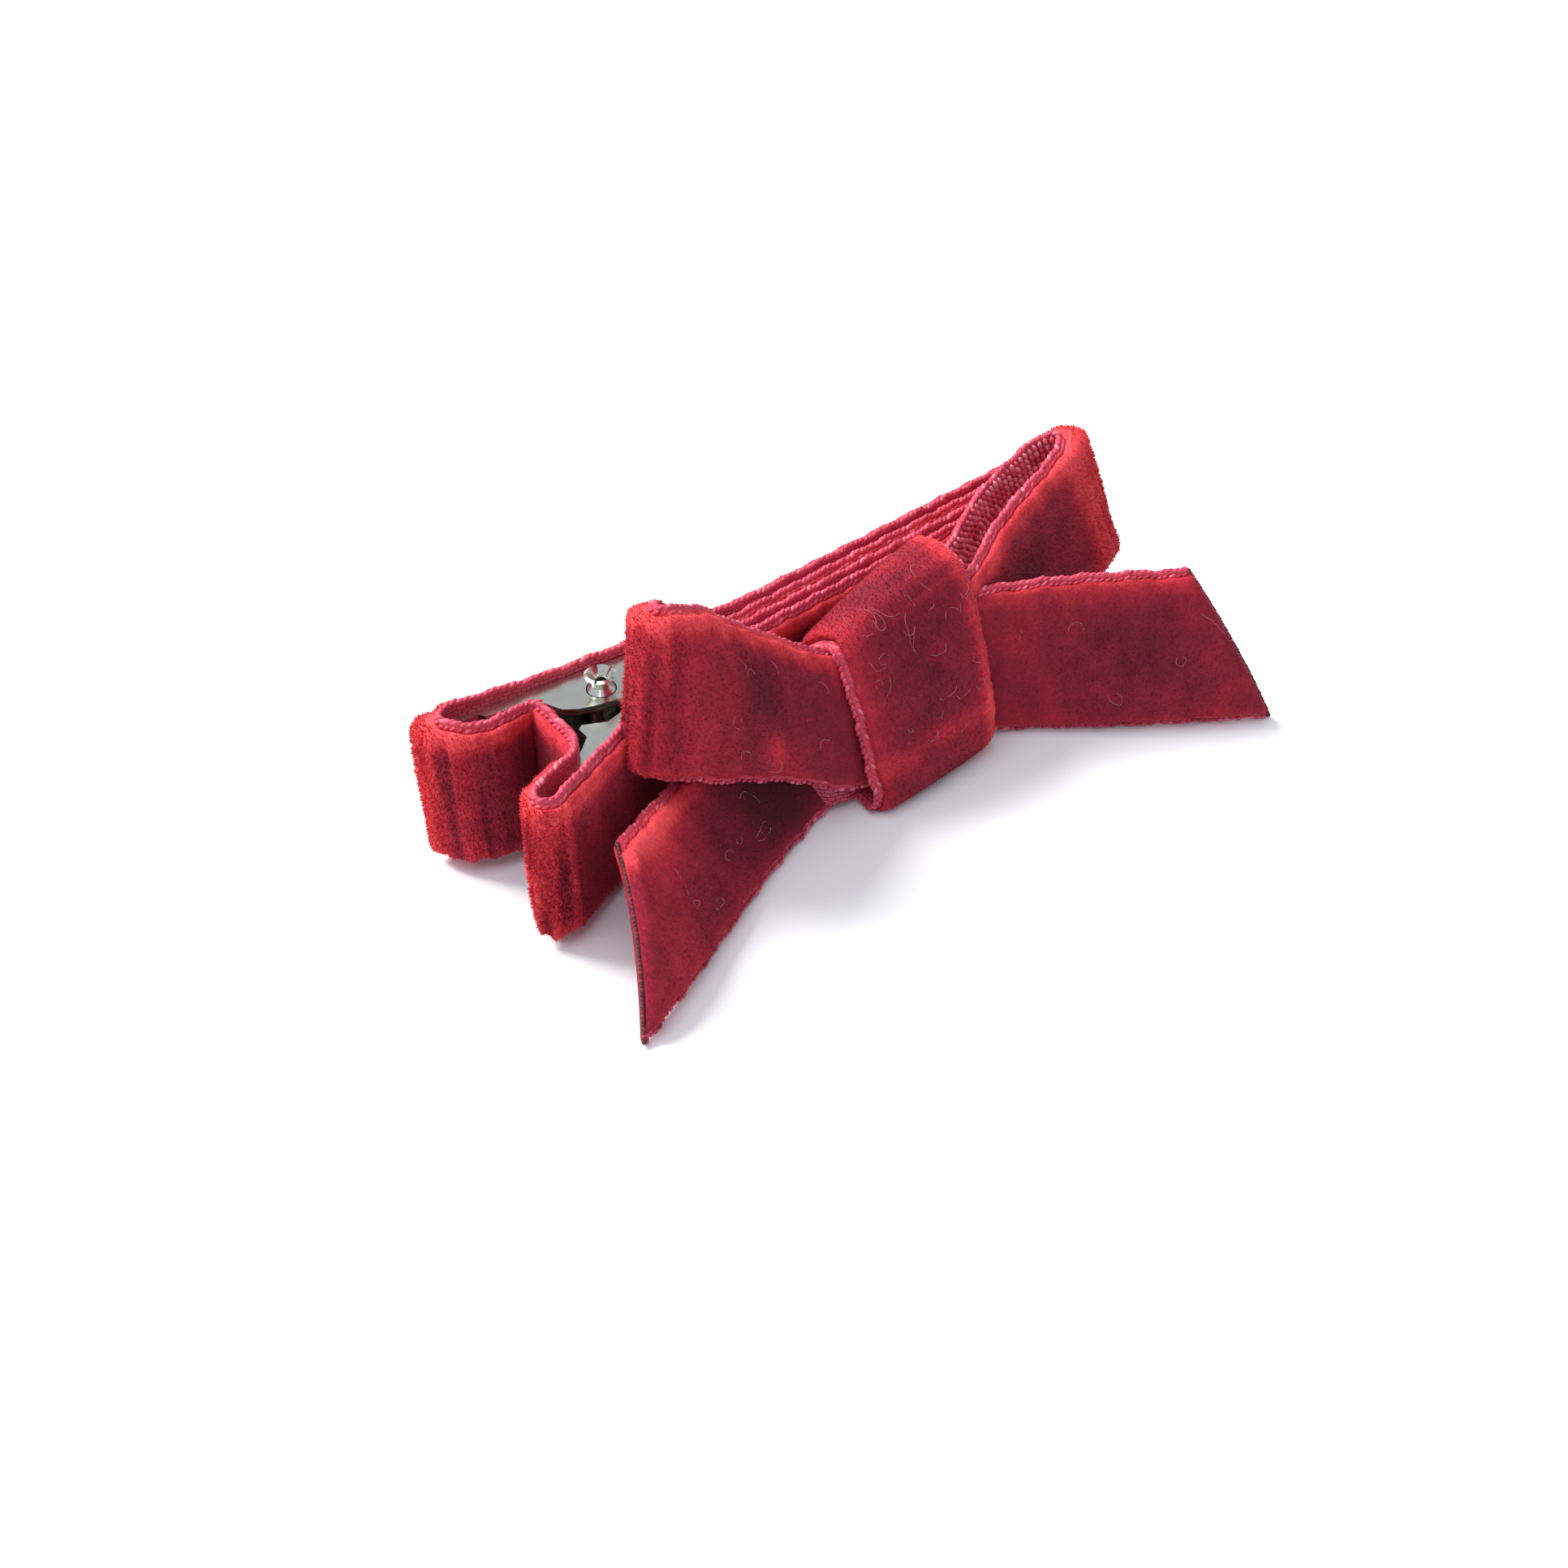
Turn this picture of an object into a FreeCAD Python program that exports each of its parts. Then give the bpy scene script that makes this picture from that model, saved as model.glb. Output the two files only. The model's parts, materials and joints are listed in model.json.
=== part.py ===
import FreeCAD, Part
import Sketcher
import math
import os
import re

# A ribbon-lined alligator hair clip with a flat bow, lying on its side.
# Every piece is drawn in the clip's own frame: the hinge pin stands on the
# origin along Z, the closed jaws point along +X, the plain back lever is on
# the +Y side and the lever that carries the bow is on the -Y side. The clip
# rests on the ribbon's lower selvedges, so Z = 0 is the table.

SIZES = {
    # where the hinge pin stands in the finished part's frame
    "pivot_x": -13.485,
    "pivot_y": 7.58,
    # velvet ribbon
    "ribbon_width": 10.0,
    "ribbon_thick": 1.2,
    "lining_thick": 0.62,
    "jaw_gap": 0.06,
    # spring-steel levers, stamped and folded
    "sheet_thick": 0.4,
    "back_width": 9.0,
    "front_width": 8.1,
    "nose_width": 6.0,
    "nose_x": 35.2,
    "taper_x": 14.0,
    "handle_corner": 1.6,
    # back lever: outer face of the jaw, bend and handle
    "back_face": 0.4,
    "back_angle": 9.0,
    "back_bend": 10.1,
    "back_end": -8.4,
    # front lever: outer face of the jaw, bend and handle
    "front_face": 1.7,
    "front_angle": 21.8,
    "front_bend": 2.95,
    "front_end": -7.8,
    # hinge pin, a tubular rivet
    "pin_radius": 0.80,
    "pin_play": 0.07,
    "pin_waist": 0.52,
    "pin_flare": 0.92,
    "pin_bore": 0.34,
    "pin_stand": 1.1,
    "pin_head": 1.3,
    "pin_head_thick": 0.35,
    "lobe_radius": 1.28,
    # torsion spring
    "wire_radius": 0.22,
    "coil_radius": 1.11,
    "whole_turns": 6.0,
    "leg_length": 3.2,
    "back_splay": 3.5,
    "front_splay": 15.0,
    # lining runs
    "lining_start": 9.0,
    "back_lining_near": 1.25,
    "web_x": -3.6,
    # bow
    "knot_left": 11.5,
    "knot_right": 21.5,
    "knot_back": 3.1,
    "knot_wall": 1.2,
    "left_loop_end": -1.6,
    "right_loop_end": 35.6,
}

os.makedirs("parts", exist_ok=True)
doc = FreeCAD.newDocument("ribbon_clip")
sheet = doc.addObject("Spreadsheet::Sheet", "Sizes")
for row, (alias, number) in enumerate(SIZES.items(), start=1):
    sheet.set(f"A{row}", alias)
    sheet.set(f"B{row}", str(number))
    sheet.setAlias(f"B{row}", alias)
doc.recompute()

sub_parts = []


def bind(text):
    """Turn the plain words of a size formula into references to the sheet."""
    word = re.compile(r"[a-z]\w*")
    return word.sub(lambda hit: f"Sizes.{hit[0]}" if hit[0] in SIZES else hit[0], str(text))


def value(text):
    """The number that a size formula gives now."""
    return float(sheet.evalExpression(bind(text)))


def new_body(label):
    """A body on the hinge axis, placed in the part's frame by the sheet."""
    body = doc.addObject("PartDesign::Body", label)
    body.Label = label
    body.setExpression("Placement.Base.x", "Sizes.pivot_x")
    body.setExpression("Placement.Base.y", "Sizes.pivot_y")
    sub_parts.append(body)
    return body


def new_sketch(body, name, plane, offset="0"):
    """An empty sketch on one of the body's own origin planes."""
    sketch = body.newObject("Sketcher::SketchObject", name)
    flat = [item for item in body.Origin.OriginFeatures if item.Role == plane][0]
    sketch.AttachmentSupport = (flat, "")
    sketch.MapMode = "FlatFace"
    sketch.setExpression("AttachmentOffset.Base.z", bind(offset))
    return sketch


def outline(body, name, plane, corners, offset="0"):
    """A closed outline of straight edges; each corner is a pair of formulas."""
    sketch = new_sketch(body, name, plane, offset)
    points = [FreeCAD.Vector(value(across), value(along), 0) for across, along in corners]
    count = len(points)
    for index in range(count):
        sketch.addGeometry(Part.LineSegment(points[index], points[(index + 1) % count]), False)
    for index in range(count):
        sketch.addConstraint(Sketcher.Constraint("Coincident", index, 2, (index + 1) % count, 1))
    for index, (across, along) in enumerate(corners):
        for kind, formula, number in (("DistanceX", across, points[index].x),
                                      ("DistanceY", along, points[index].y)):
            place = sketch.addConstraint(Sketcher.Constraint(kind, -1, 1, index, 1, number))
            sketch.setExpression(f"Constraints[{place}]", bind(formula))
    return sketch


def disc(body, name, plane, radius, offset="0"):
    """A circle about the hinge axis."""
    sketch = new_sketch(body, name, plane, offset)
    circle = Part.Circle(FreeCAD.Vector(0, 0, 0), FreeCAD.Vector(0, 0, 1), value(radius))
    sketch.addGeometry(circle, False)
    sketch.addConstraint(Sketcher.Constraint("Coincident", 0, 3, -1, 1))
    place = sketch.addConstraint(Sketcher.Constraint("Radius", 0, value(radius)))
    sketch.setExpression(f"Constraints[{place}]", bind(radius))
    return sketch


def pad(body, sketch, length):
    """Add material upwards from a sketch."""
    feature = body.newObject("PartDesign::Pad", "pad")
    feature.Profile = sketch
    feature.setExpression("Length", bind(length))
    doc.recompute()
    return feature


def cut(body, sketch, length, both_ways=False):
    """Take material away above a sketch, or on both sides of it."""
    before = body.Shape.Volume
    feature = body.newObject("PartDesign::Pocket", "pocket")
    feature.Profile = sketch
    feature.Reversed = not both_ways
    feature.Midplane = both_ways
    feature.setExpression("Length", bind(length))
    doc.recompute()
    if not body.Shape.Volume < before - 1e-6:
        raise RuntimeError(f"{body.Label}: {sketch.Name} cuts nothing")
    return feature


def round_edges(body, radius, chosen):
    """Round the straight edges that the test picks."""
    names = [f"Edge{index}" for index, edge in enumerate(body.Shape.Edges, start=1) if chosen(edge)]
    if not names:
        raise RuntimeError(f"{body.Label}: no edge to round")
    base = body.Tip
    feature = body.newObject("PartDesign::Fillet", "fillet")
    feature.Base = (base, names)
    feature.Radius = radius
    doc.recompute()
    if "Invalid" in feature.State:
        raise RuntimeError(f"{body.Label}: cannot round {names} by {radius}")
    return feature


def upright_near(across, along, reach=0.05):
    """Pick edges along Z that stand near a point of the clip's frame."""
    def chosen(edge):
        low, high = edge.Vertexes[0].Point, edge.Vertexes[-1].Point
        if abs(low.z - high.z) < 0.2 or abs(low.x - high.x) + abs(low.y - high.y) > 1e-4:
            return False
        spot_x = low.x - value("pivot_x")
        spot_y = low.y - value("pivot_y")
        return math.hypot(spot_x - value(across), spot_y - value(along)) < reach
    return chosen


# Heights shared by several pieces.
BACK_LOW = "(ribbon_width - back_width) / 2"
FRONT_LOW = "(ribbon_width - front_width) / 2"

# Faces of the two levers. Each lever is a straight jaw and a handle that is
# bent away from it, so every face is one straight line on each side of a bend.
BACK_SLOPE = "tan(back_angle)"
FRONT_SLOPE = "tan(front_angle)"


def back_line(across, depth="0"):
    """Y of a line that lies depth inside the back handle's outer face."""
    return f"back_face + (back_bend - ({across})) * {BACK_SLOPE} - ({depth})"


def front_line(across, depth="0"):
    """Y of a line that lies depth inside the front handle's outer face."""
    return f"-front_face - (front_bend - ({across})) * {FRONT_SLOPE} + ({depth})"


def make_back_lever():
    """Plain back lever: a channel at the hinge, a long flat jaw, a handle."""
    body = new_body("back_lever")
    web = outline(body, "back_web", "XY_Plane", [
        ("back_end", back_line("back_end")),
        ("back_bend", "back_face"),
        ("nose_x", "back_face"),
        ("nose_x", "back_face - sheet_thick"),
        ("back_bend", "back_face - sheet_thick"),
        ("back_end - sheet_thick * sin(back_angle)",
         back_line("back_end", "sheet_thick * cos(back_angle)")),
    ], BACK_LOW)
    pad(body, web, "back_width")
    round_handle(body, "back_end")
    ears = outline(body, "back_ears", "XY_Plane", [
        ("-6.6", back_line("-6.6", "sheet_thick / 2")),
        ("-6.2", back_line("-6.2", "0.8")),
        ("-3.4", back_line("-3.4", "0.95")),
        ("-3.1", "0.9"),
        ("-2.75", "-0.05"),
        ("-2.1", "-0.6"),
        ("-1.2", "-1.0"),
        ("0.3", "-1.4"),
        ("2.2", "-1.5"),
        ("4.2", "-1.35"),
        ("6.2", "-0.6"),
        ("7.6", back_line("7.6", "0.75")),
        ("8.2", back_line("8.2", "sheet_thick / 2")),
    ], BACK_LOW)
    pad(body, ears, "back_width")
    inside = outline(body, "back_channel", "XY_Plane", [
        ("-7", back_line("-7", "sheet_thick")),
        ("8.6", back_line("8.6", "sheet_thick")),
        ("8.6", "-4"),
        ("-7", "-4"),
    ], f"{BACK_LOW} + sheet_thick")
    cut(body, inside, "back_width - 2 * sheet_thick")
    cut(body, disc(body, "back_pin_holes", "XY_Plane", "pin_radius + pin_play", BACK_LOW), "back_width")
    taper_jaw(body, "back_width")


def taper_jaw(body, width):
    """Narrow a jaw evenly from where the folded sides end to its nose."""
    for name, side in (("taper_low", "-1"), ("taper_high", "1")):
        wedge = outline(body, name, "XZ_Plane", [
            ("taper_x", f"ribbon_width / 2 + ({side}) * ({width}) / 2"),
            ("nose_x", f"ribbon_width / 2 + ({side}) * nose_width / 2"),
            ("nose_x + 1", f"ribbon_width / 2 + ({side}) * nose_width / 2"),
            ("nose_x + 1", f"ribbon_width / 2 + ({side}) * (({width}) / 2 + 1)"),
            ("taper_x", f"ribbon_width / 2 + ({side}) * (({width}) / 2 + 1)"),
        ])
        cut(body, wedge, "30", both_ways=True)


def round_handle(body, end):
    """Round the two corners of the thumb end, seen from outside."""
    def corner(edge):
        low, high = edge.Vertexes[0].Point, edge.Vertexes[-1].Point
        near_end = max(low.x, high.x) - value("pivot_x") < value(end) + 0.2
        return near_end and abs(low.z - high.z) < 1e-4 and abs(low.y - high.y) > 0.2
    round_edges(body, SIZES["handle_corner"], corner)


def make_front_lever():
    """Front lever: its ears stand inside the back lever's and share the pin."""
    body = new_body("front_lever")
    web = outline(body, "front_web", "XY_Plane", [
        ("front_end", front_line("front_end")),
        ("front_bend", "-front_face"),
        ("nose_x", "-front_face"),
        ("nose_x", "-front_face + sheet_thick"),
        ("front_bend", "-front_face + sheet_thick"),
        ("front_end - sheet_thick * sin(front_angle)",
         front_line("front_end", "sheet_thick * cos(front_angle)")),
    ], FRONT_LOW)
    pad(body, web, "front_width")
    round_handle(body, "front_end")
    ears = outline(body, "front_ears", "XY_Plane", [
        ("-5.6", front_line("-5.6", "sheet_thick / 2")),
        ("-5.3", "-4.2"),
        ("-3.6", "-3.05"),
        ("-2.8", "-2.4"),
        ("-2.75", "-1.6"),
        ("-2.45", "-1.4"),
        ("-1.2", "-2.1"),
        ("0.1", "-1.9"),
        ("0.6", "-1.05"),
        ("1.2", "0.2"),
        ("2.4", "-0.1"),
        ("5.2", "-0.9"),
        ("6.4", "-front_face + sheet_thick / 2"),
        ("front_bend", "-front_face + sheet_thick / 2"),
    ], FRONT_LOW)
    pad(body, ears, "front_width")
    pad(body, disc(body, "front_lobe", "XY_Plane", "lobe_radius", FRONT_LOW), "front_width")
    inside = outline(body, "front_channel", "XY_Plane", [
        ("-7", front_line("-7", "sheet_thick * 1.08")),
        ("front_bend", "-front_face + sheet_thick"),
        ("7", "-front_face + sheet_thick"),
        ("7", "3"),
        ("-7", "3"),
    ], f"{FRONT_LOW} + sheet_thick")
    cut(body, inside, "front_width - 2 * sheet_thick")
    cut(body, disc(body, "front_pin_holes", "XY_Plane", "pin_radius + pin_play", FRONT_LOW), "front_width")
    taper_jaw(body, "front_width")


def make_hinge_pin():
    """Tubular rivet: a flat head below, a waisted and flared end above."""
    body = new_body("hinge_pin")
    ear_top = "(ribbon_width + back_width) / 2"
    profile = outline(body, "pin_profile", "XZ_Plane", [
        ("0", f"{BACK_LOW} - pin_head_thick"),
        ("pin_head", f"{BACK_LOW} - pin_head_thick"),
        ("pin_head", BACK_LOW),
        ("pin_radius", BACK_LOW),
        ("pin_radius", ear_top),
        ("pin_waist", f"{ear_top} + 0.3"),
        ("pin_waist", f"{ear_top} + 0.65"),
        ("pin_flare", f"{ear_top} + pin_stand - 0.12"),
        ("pin_flare - 0.16", f"{ear_top} + pin_stand"),
        ("pin_bore", f"{ear_top} + 0.55"),
        ("pin_bore", f"{ear_top} - 2"),
        ("0", f"{ear_top} - 2"),
    ])
    turn = body.newObject("PartDesign::Revolution", "pin_turn")
    turn.Profile = profile
    turn.ReferenceAxis = (profile, ["V_Axis"])
    turn.Angle = 360
    doc.recompute()
    slit = outline(body, "petal_slit", "XY_Plane", [
        ("pin_bore / 2", "-0.07"),
        ("pin_flare + 0.2", "-0.07"),
        ("pin_flare + 0.2", "0.07"),
        ("pin_bore / 2", "0.07"),
    ], f"{ear_top} + 0.6")
    first = cut(body, slit, "pin_stand")
    petals = body.newObject("PartDesign::PolarPattern", "petals")
    petals.Originals = [first]
    petals.Axis = (profile, ["V_Axis"])
    petals.Angle = 360
    petals.Occurrences = 5
    body.Tip = petals
    doc.recompute()


def make_torsion_spring():
    """Wire coil round the pin; each leg leans outwards on the inside of a handle."""
    pitch = "(2 * wire_radius + 0.03)"
    # The legs leave the coil at its tangents, so the turn that is left over
    # is what lies between the two handle directions.
    back_lean = "(back_angle + back_splay)"
    front_lean = "(front_angle + front_splay)"
    turns = f"(whole_turns + (180 - {back_lean} - {front_lean}) / 360)"
    helix = doc.addObject("Part::Helix", "coil_line")
    helix.LocalCoord = "Left-handed"
    helix.setExpression("Pitch", bind(pitch))
    helix.setExpression("Height", bind(f"{turns} * {pitch}"))
    helix.setExpression("Radius", "Sizes.coil_radius")
    ring = doc.addObject("Part::Circle", "wire_section")
    ring.setExpression("Radius", "Sizes.wire_radius")
    ring.setExpression("Placement.Base.x", "Sizes.coil_radius")
    ring.Placement.Rotation = FreeCAD.Rotation(FreeCAD.Vector(1, 0, 0), 90)
    doc.recompute()
    coil = doc.addObject("Part::Sweep", "coil")
    coil.Sections = [ring]
    coil.Spine = (helix, ["Edge1"])
    coil.Solid = True
    coil.Frenet = True
    upright = FreeCAD.Vector(0, 0, 1)
    legs = []
    for name, height, turn, tip_over in (
        ("low_leg", 0.0, 0.0, -90),
        ("high_leg", value(f"{turns} * {pitch}"), -360 * value(turns), 90),
    ):
        leg = doc.addObject("Part::Cylinder", name)
        leg.setExpression("Radius", "Sizes.wire_radius")
        leg.setExpression("Height", "Sizes.leg_length")
        swing = FreeCAD.Rotation(upright, turn)
        foot = swing.multVec(FreeCAD.Vector(value("coil_radius"), 0, 0))
        foot.z = height
        leg.Placement = FreeCAD.Placement(foot, swing * FreeCAD.Rotation(FreeCAD.Vector(1, 0, 0), tip_over))
        legs.append(leg)
    spring = doc.addObject("Part::MultiFuse", "torsion_spring")
    spring.Label = "torsion_spring"
    spring.Shapes = [coil] + legs
    low = value(f"(ribbon_width - {turns} * {pitch}) / 2")
    corner = FreeCAD.Vector(value("pivot_x"), value("pivot_y"), low)
    spring.Placement = FreeCAD.Placement(corner, FreeCAD.Rotation(upright, value(f"90 - {back_lean}")))
    doc.recompute()
    sub_parts.append(spring)


def ribbon_run(label, corners, rounded=(), radius=0.5):
    """One stretch of the lining ribbon: an outline raised by the ribbon's width."""
    body = new_body(label)
    pad(body, outline(body, f"{label}_outline", "XY_Plane", corners), "ribbon_width")
    for across, along in rounded:
        round_edges(body, radius, upright_near(across, along))
    return body


def make_back_ribbon():
    """The strip round the back lever: jaw lining, outside cover, thumb end."""
    cap = "nose_x + ribbon_thick"
    tail = "back_end - ribbon_thick"
    ribbon_run("back_cover_ribbon", [
        (tail, back_line(tail)),
        ("back_bend", "back_face"),
        (cap, "back_face"),
        (cap, "back_face + ribbon_thick"),
        ("back_bend", "back_face + ribbon_thick"),
        (tail, back_line(tail, "-ribbon_thick")),
    ], [(cap, "back_face + ribbon_thick"), (tail, back_line(tail, "-ribbon_thick"))], 0.7)
    inner = "back_face - sheet_thick"
    ribbon_run("back_jaw_lining", [
        ("lining_start", f"{inner}"),
        ("nose_x", inner),
        ("nose_x", "back_face"),
        (cap, "back_face"),
        (cap, f"{inner} - lining_thick"),
        ("lining_start", f"{inner} - lining_thick"),
    ], [(cap, f"{inner} - lining_thick")], 0.4)
    clear = "back_end - sheet_thick * sin(back_angle) - 0.02"
    ribbon_run("back_handle_lining", [
        (tail, back_line(tail)),
        (clear, back_line(clear)),
        (clear, "back_lining_near"),
        ("web_x - 0.5", "back_lining_near"),
        ("web_x - 0.5", "back_lining_near - ribbon_thick"),
        (tail, "back_lining_near - ribbon_thick"),
    ], [(tail, "back_lining_near - ribbon_thick")], 0.7)


def make_front_ribbon():
    """The same strip carried on round the front lever's thumb end and jaw."""
    cap = "nose_x + ribbon_thick"
    tail = "front_end - ribbon_thick"
    skin = "ribbon_thick / cos(front_angle)"
    ribbon_run("front_cover_ribbon", [
        (tail, front_line(tail)),
        ("front_bend", "-front_face"),
        (cap, "-front_face"),
        (cap, "-front_face - ribbon_thick"),
        ("front_bend - 0.2", "-front_face - ribbon_thick"),
        (tail, front_line(tail, f"-({skin})")),
    ], [(cap, "-front_face - ribbon_thick"), (tail, front_line(tail, f"-({skin})"))], 0.7)
    inner = "-front_face + sheet_thick"
    ribbon_run("front_jaw_lining", [
        ("lining_start", inner),
        ("nose_x", inner),
        ("nose_x", "-front_face"),
        (cap, "-front_face"),
        (cap, f"{inner} + lining_thick"),
        ("lining_start", f"{inner} + lining_thick"),
    ], [(cap, f"{inner} + lining_thick")], 0.4)
    near = "sheet_thick * 1.08 + 0.25"
    far = f"{near} + {skin}"
    clear = "front_end - sheet_thick * sin(front_angle) - 0.02"
    ribbon_run("front_handle_lining", [
        (tail, front_line(tail)),
        (clear, front_line(clear)),
        (clear, front_line(clear, near)),
        ("-5.75", front_line("-5.75", near)),
        ("-5.75", front_line("-5.75", far)),
        (tail, front_line(tail, far)),
    ], [(tail, front_line(tail, far))], 0.7)


def make_hinge_web():
    """The strip where it crosses the V between the two thumb ends."""
    ribbon_run("hinge_web_ribbon", [
        ("web_x - 0.55", "back_lining_near - ribbon_thick - 0.1"),
        ("web_x", "back_lining_near - ribbon_thick - 0.1"),
        ("web_x", "-2.5"),
        ("web_x - 2.0", front_line("web_x - 2.0", "sheet_thick * 1.08 + 0.3")),
        ("web_x - 2.0", front_line("web_x - 2.0", "sheet_thick * 1.08 + 1.3")),
        ("web_x - 1.2", "-2.6"),
        ("web_x - 1.2", "back_lining_near - ribbon_thick - 0.1"),
    ])


def lofted(label, sections):
    """A body skinned over four-cornered sections that stand across the clip."""
    body = new_body(label)
    sketches = []
    for index, (station, corners) in enumerate(sections):
        sketches.append(outline(body, f"{label}_{index}", "YZ_Plane", corners, station))
    doc.recompute()
    loft = body.newObject("PartDesign::AdditiveLoft", f"{label}_loft")
    loft.Profile = sketches[0]
    loft.Sections = sketches[1:]
    loft.Ruled = True
    doc.recompute()
    return body


def make_loops():
    """The bow's two loops, each an envelope of its front and back layer."""
    knot_end = [("-4.45", "1.5"), ("-7.9", "1.5"), ("-5.9", "10.2"), ("-4.45", "9.6")]
    lofted("bow_left_loop", [
        ("knot_left + 4.9", knot_end),
        ("knot_left", knot_end),
        ("left_loop_end", [("-5.4", "6.6"), ("-6.9", "6.6"), ("-5.4", "16.3"), ("-4.0", "16.3")]),
    ])
    lofted("bow_right_loop", [
        ("knot_left + 5.1", knot_end),
        ("knot_right", knot_end),
        ("right_loop_end", [("-4.9", "4.9"), ("-6.4", "4.9"), ("-3.9", "13.8"), ("-2.5", "13.8")]),
    ])


def flat_tail(label, corners, start, heading, lean):
    """A cut ribbon end: a flat outline, leaned back and turned about its start."""
    body = doc.addObject("PartDesign::Body", label)
    body.Label = label
    sub_parts.append(body)
    sketch = outline(body, f"{label}_outline", "XZ_Plane", corners)
    feature = pad(body, sketch, "ribbon_thick")
    feature.Reversed = True
    lean_turn = FreeCAD.Rotation(FreeCAD.Vector(1, 0, 0), lean)
    plan_turn = FreeCAD.Rotation(FreeCAD.Vector(0, 0, 1), heading)
    corner = FreeCAD.Vector(start[0] + value("pivot_x"), start[1] + value("pivot_y"), start[2])
    body.Placement = FreeCAD.Placement(corner, plan_turn * lean_turn)
    doc.recompute()


def make_tails():
    """The two cut ends: the left one cut to a point, the right one on the slant."""
    flat_tail("bow_left_tail", [
        ("0", "0"),
        ("-20.2", "0"),
        ("-14.7", "8.9"),
        ("-9.2", "7.1"),
        ("0", "1.2"),
    ], (9.4, -8.3, 0.7), 20.0, -31.0)
    flat_tail("bow_right_tail", [
        ("0", "0"),
        ("17.2", "0"),
        ("11.9", "9.9"),
        ("0.6", "9.9"),
    ], (22.4, -9.5, 0.4), -36.6, -15.0)


def make_knot():
    """The band wrapped round the middle of the bow, and the glue behind it."""
    body = new_body("knot_band")
    across = "YZ_Plane"
    outside = outline(body, "knot_outside", across, [
        ("-knot_back", "0.3"),
        ("-9.8", "0"),
        ("-10.3", "1.5"),
        ("-9.4", "6"),
        ("-7.5", "10.3"),
        ("-5.8", "12"),
        ("-4.2", "11.6"),
        ("-knot_back", "10.4"),
    ], "knot_left")
    pad(body, outside, "knot_right - knot_left")
    inside = outline(body, "knot_inside", across, [
        ("-knot_back - knot_wall", "1.35"),
        ("-8.5", "1.2"),
        ("-8.9", "2"),
        ("-8.1", "5.8"),
        ("-6.4", "9.6"),
        ("-5.6", "10.6"),
        ("-knot_back - knot_wall", "10"),
    ], "knot_left")
    cut(body, inside, "knot_right - knot_left")
    glue = new_body("bow_glue")
    spot = outline(glue, "glue_outline", "XY_Plane", [
        ("knot_left + 1.5", "-front_face - ribbon_thick"),
        ("knot_right - 1.5", "-front_face - ribbon_thick"),
        ("knot_right - 1.5", "-knot_back"),
        ("knot_left + 1.5", "-knot_back"),
    ], "1.8")
    pad(glue, spot, "6.8")


make_back_lever()
make_front_lever()
make_hinge_pin()
make_torsion_spring()
make_back_ribbon()
make_front_ribbon()
make_hinge_web()
make_loops()
make_tails()
make_knot()

doc.recompute()
for item in doc.Objects:
    if "Invalid" in item.State or "Error" in item.State:
        raise RuntimeError(f"{item.Label} failed to build: {item.State}")
whole = FreeCAD.BoundBox()
for part in sub_parts:
    shape = part.Shape
    if shape.isNull() or not shape.isValid() or len(shape.Solids) != 1:
        raise RuntimeError(f"{part.Label}: bad shape, {len(shape.Solids)} solids")
    whole.add(shape.BoundBox)
    shape.exportStep(f"parts/{part.Label}.step")
    print(f"{part.Label}: {shape.Volume:.2f} mm3")
print(f"box X {whole.XMin:.2f}..{whole.XMax:.2f} Y {whole.YMin:.2f}..{whole.YMax:.2f} "
      f"Z {whole.ZMin:.2f}..{whole.ZMax:.2f}")
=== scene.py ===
# %% [markdown]
# # A velvet bow barrette
#
# The real object is a double-prong alligator clip, about 45 mm long. One narrow velvet ribbon
# is wrapped round both of its levers, and a small tied bow is glued to the front lever.
# The metal is already exact in the frame, so this lesson makes what a frame cannot show:
# the woven edges of the ribbon, its dark pile with painted sheen where it bends, and the finishes.
# Everything is in metres, in the frame's own axes.

import bpy
import bmesh
import functools
import json
import math
import numpy as np
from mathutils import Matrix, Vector, noise


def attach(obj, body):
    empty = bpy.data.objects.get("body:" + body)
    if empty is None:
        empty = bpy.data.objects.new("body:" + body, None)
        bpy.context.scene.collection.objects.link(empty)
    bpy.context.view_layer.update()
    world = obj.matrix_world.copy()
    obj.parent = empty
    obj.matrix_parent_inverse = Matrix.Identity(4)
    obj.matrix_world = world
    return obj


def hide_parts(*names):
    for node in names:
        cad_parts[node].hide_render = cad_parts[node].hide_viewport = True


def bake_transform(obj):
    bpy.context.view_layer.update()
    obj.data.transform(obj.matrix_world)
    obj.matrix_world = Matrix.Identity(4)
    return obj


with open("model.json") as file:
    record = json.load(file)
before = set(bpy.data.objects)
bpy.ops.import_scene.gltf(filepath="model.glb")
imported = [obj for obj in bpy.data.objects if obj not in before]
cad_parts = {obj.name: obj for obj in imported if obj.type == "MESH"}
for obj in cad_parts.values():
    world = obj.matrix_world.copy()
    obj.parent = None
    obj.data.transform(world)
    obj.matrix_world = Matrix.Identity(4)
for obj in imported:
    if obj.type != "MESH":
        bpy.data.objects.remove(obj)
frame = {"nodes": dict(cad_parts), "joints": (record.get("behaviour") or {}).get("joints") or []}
scene = bpy.context.scene
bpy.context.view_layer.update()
MM = 0.001


def in_scene(name, data):
    """A new object that holds the data, linked into the scene."""
    made = bpy.data.objects.new(name, data)
    scene.collection.objects.link(made)
    return made


# %% [markdown]
# Step 1, the clip's own axes. A clip is easiest to think about from its hinge pin: how far
# along the jaws a point is, how far in front of the pin, and how high above the table.
# One small function turns those three numbers, in millimetres, into the frame's metres.

# %% Measure from the hinge pin
pin = Vector(frame["joints"][0]["pos_m"])


def clip_point(along, front, up):
    """Millimetres along the jaws, in front of the pin and above the table, to metres."""
    return np.array([pin.x + along * MM, pin.y - front * MM, up * MM])


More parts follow.
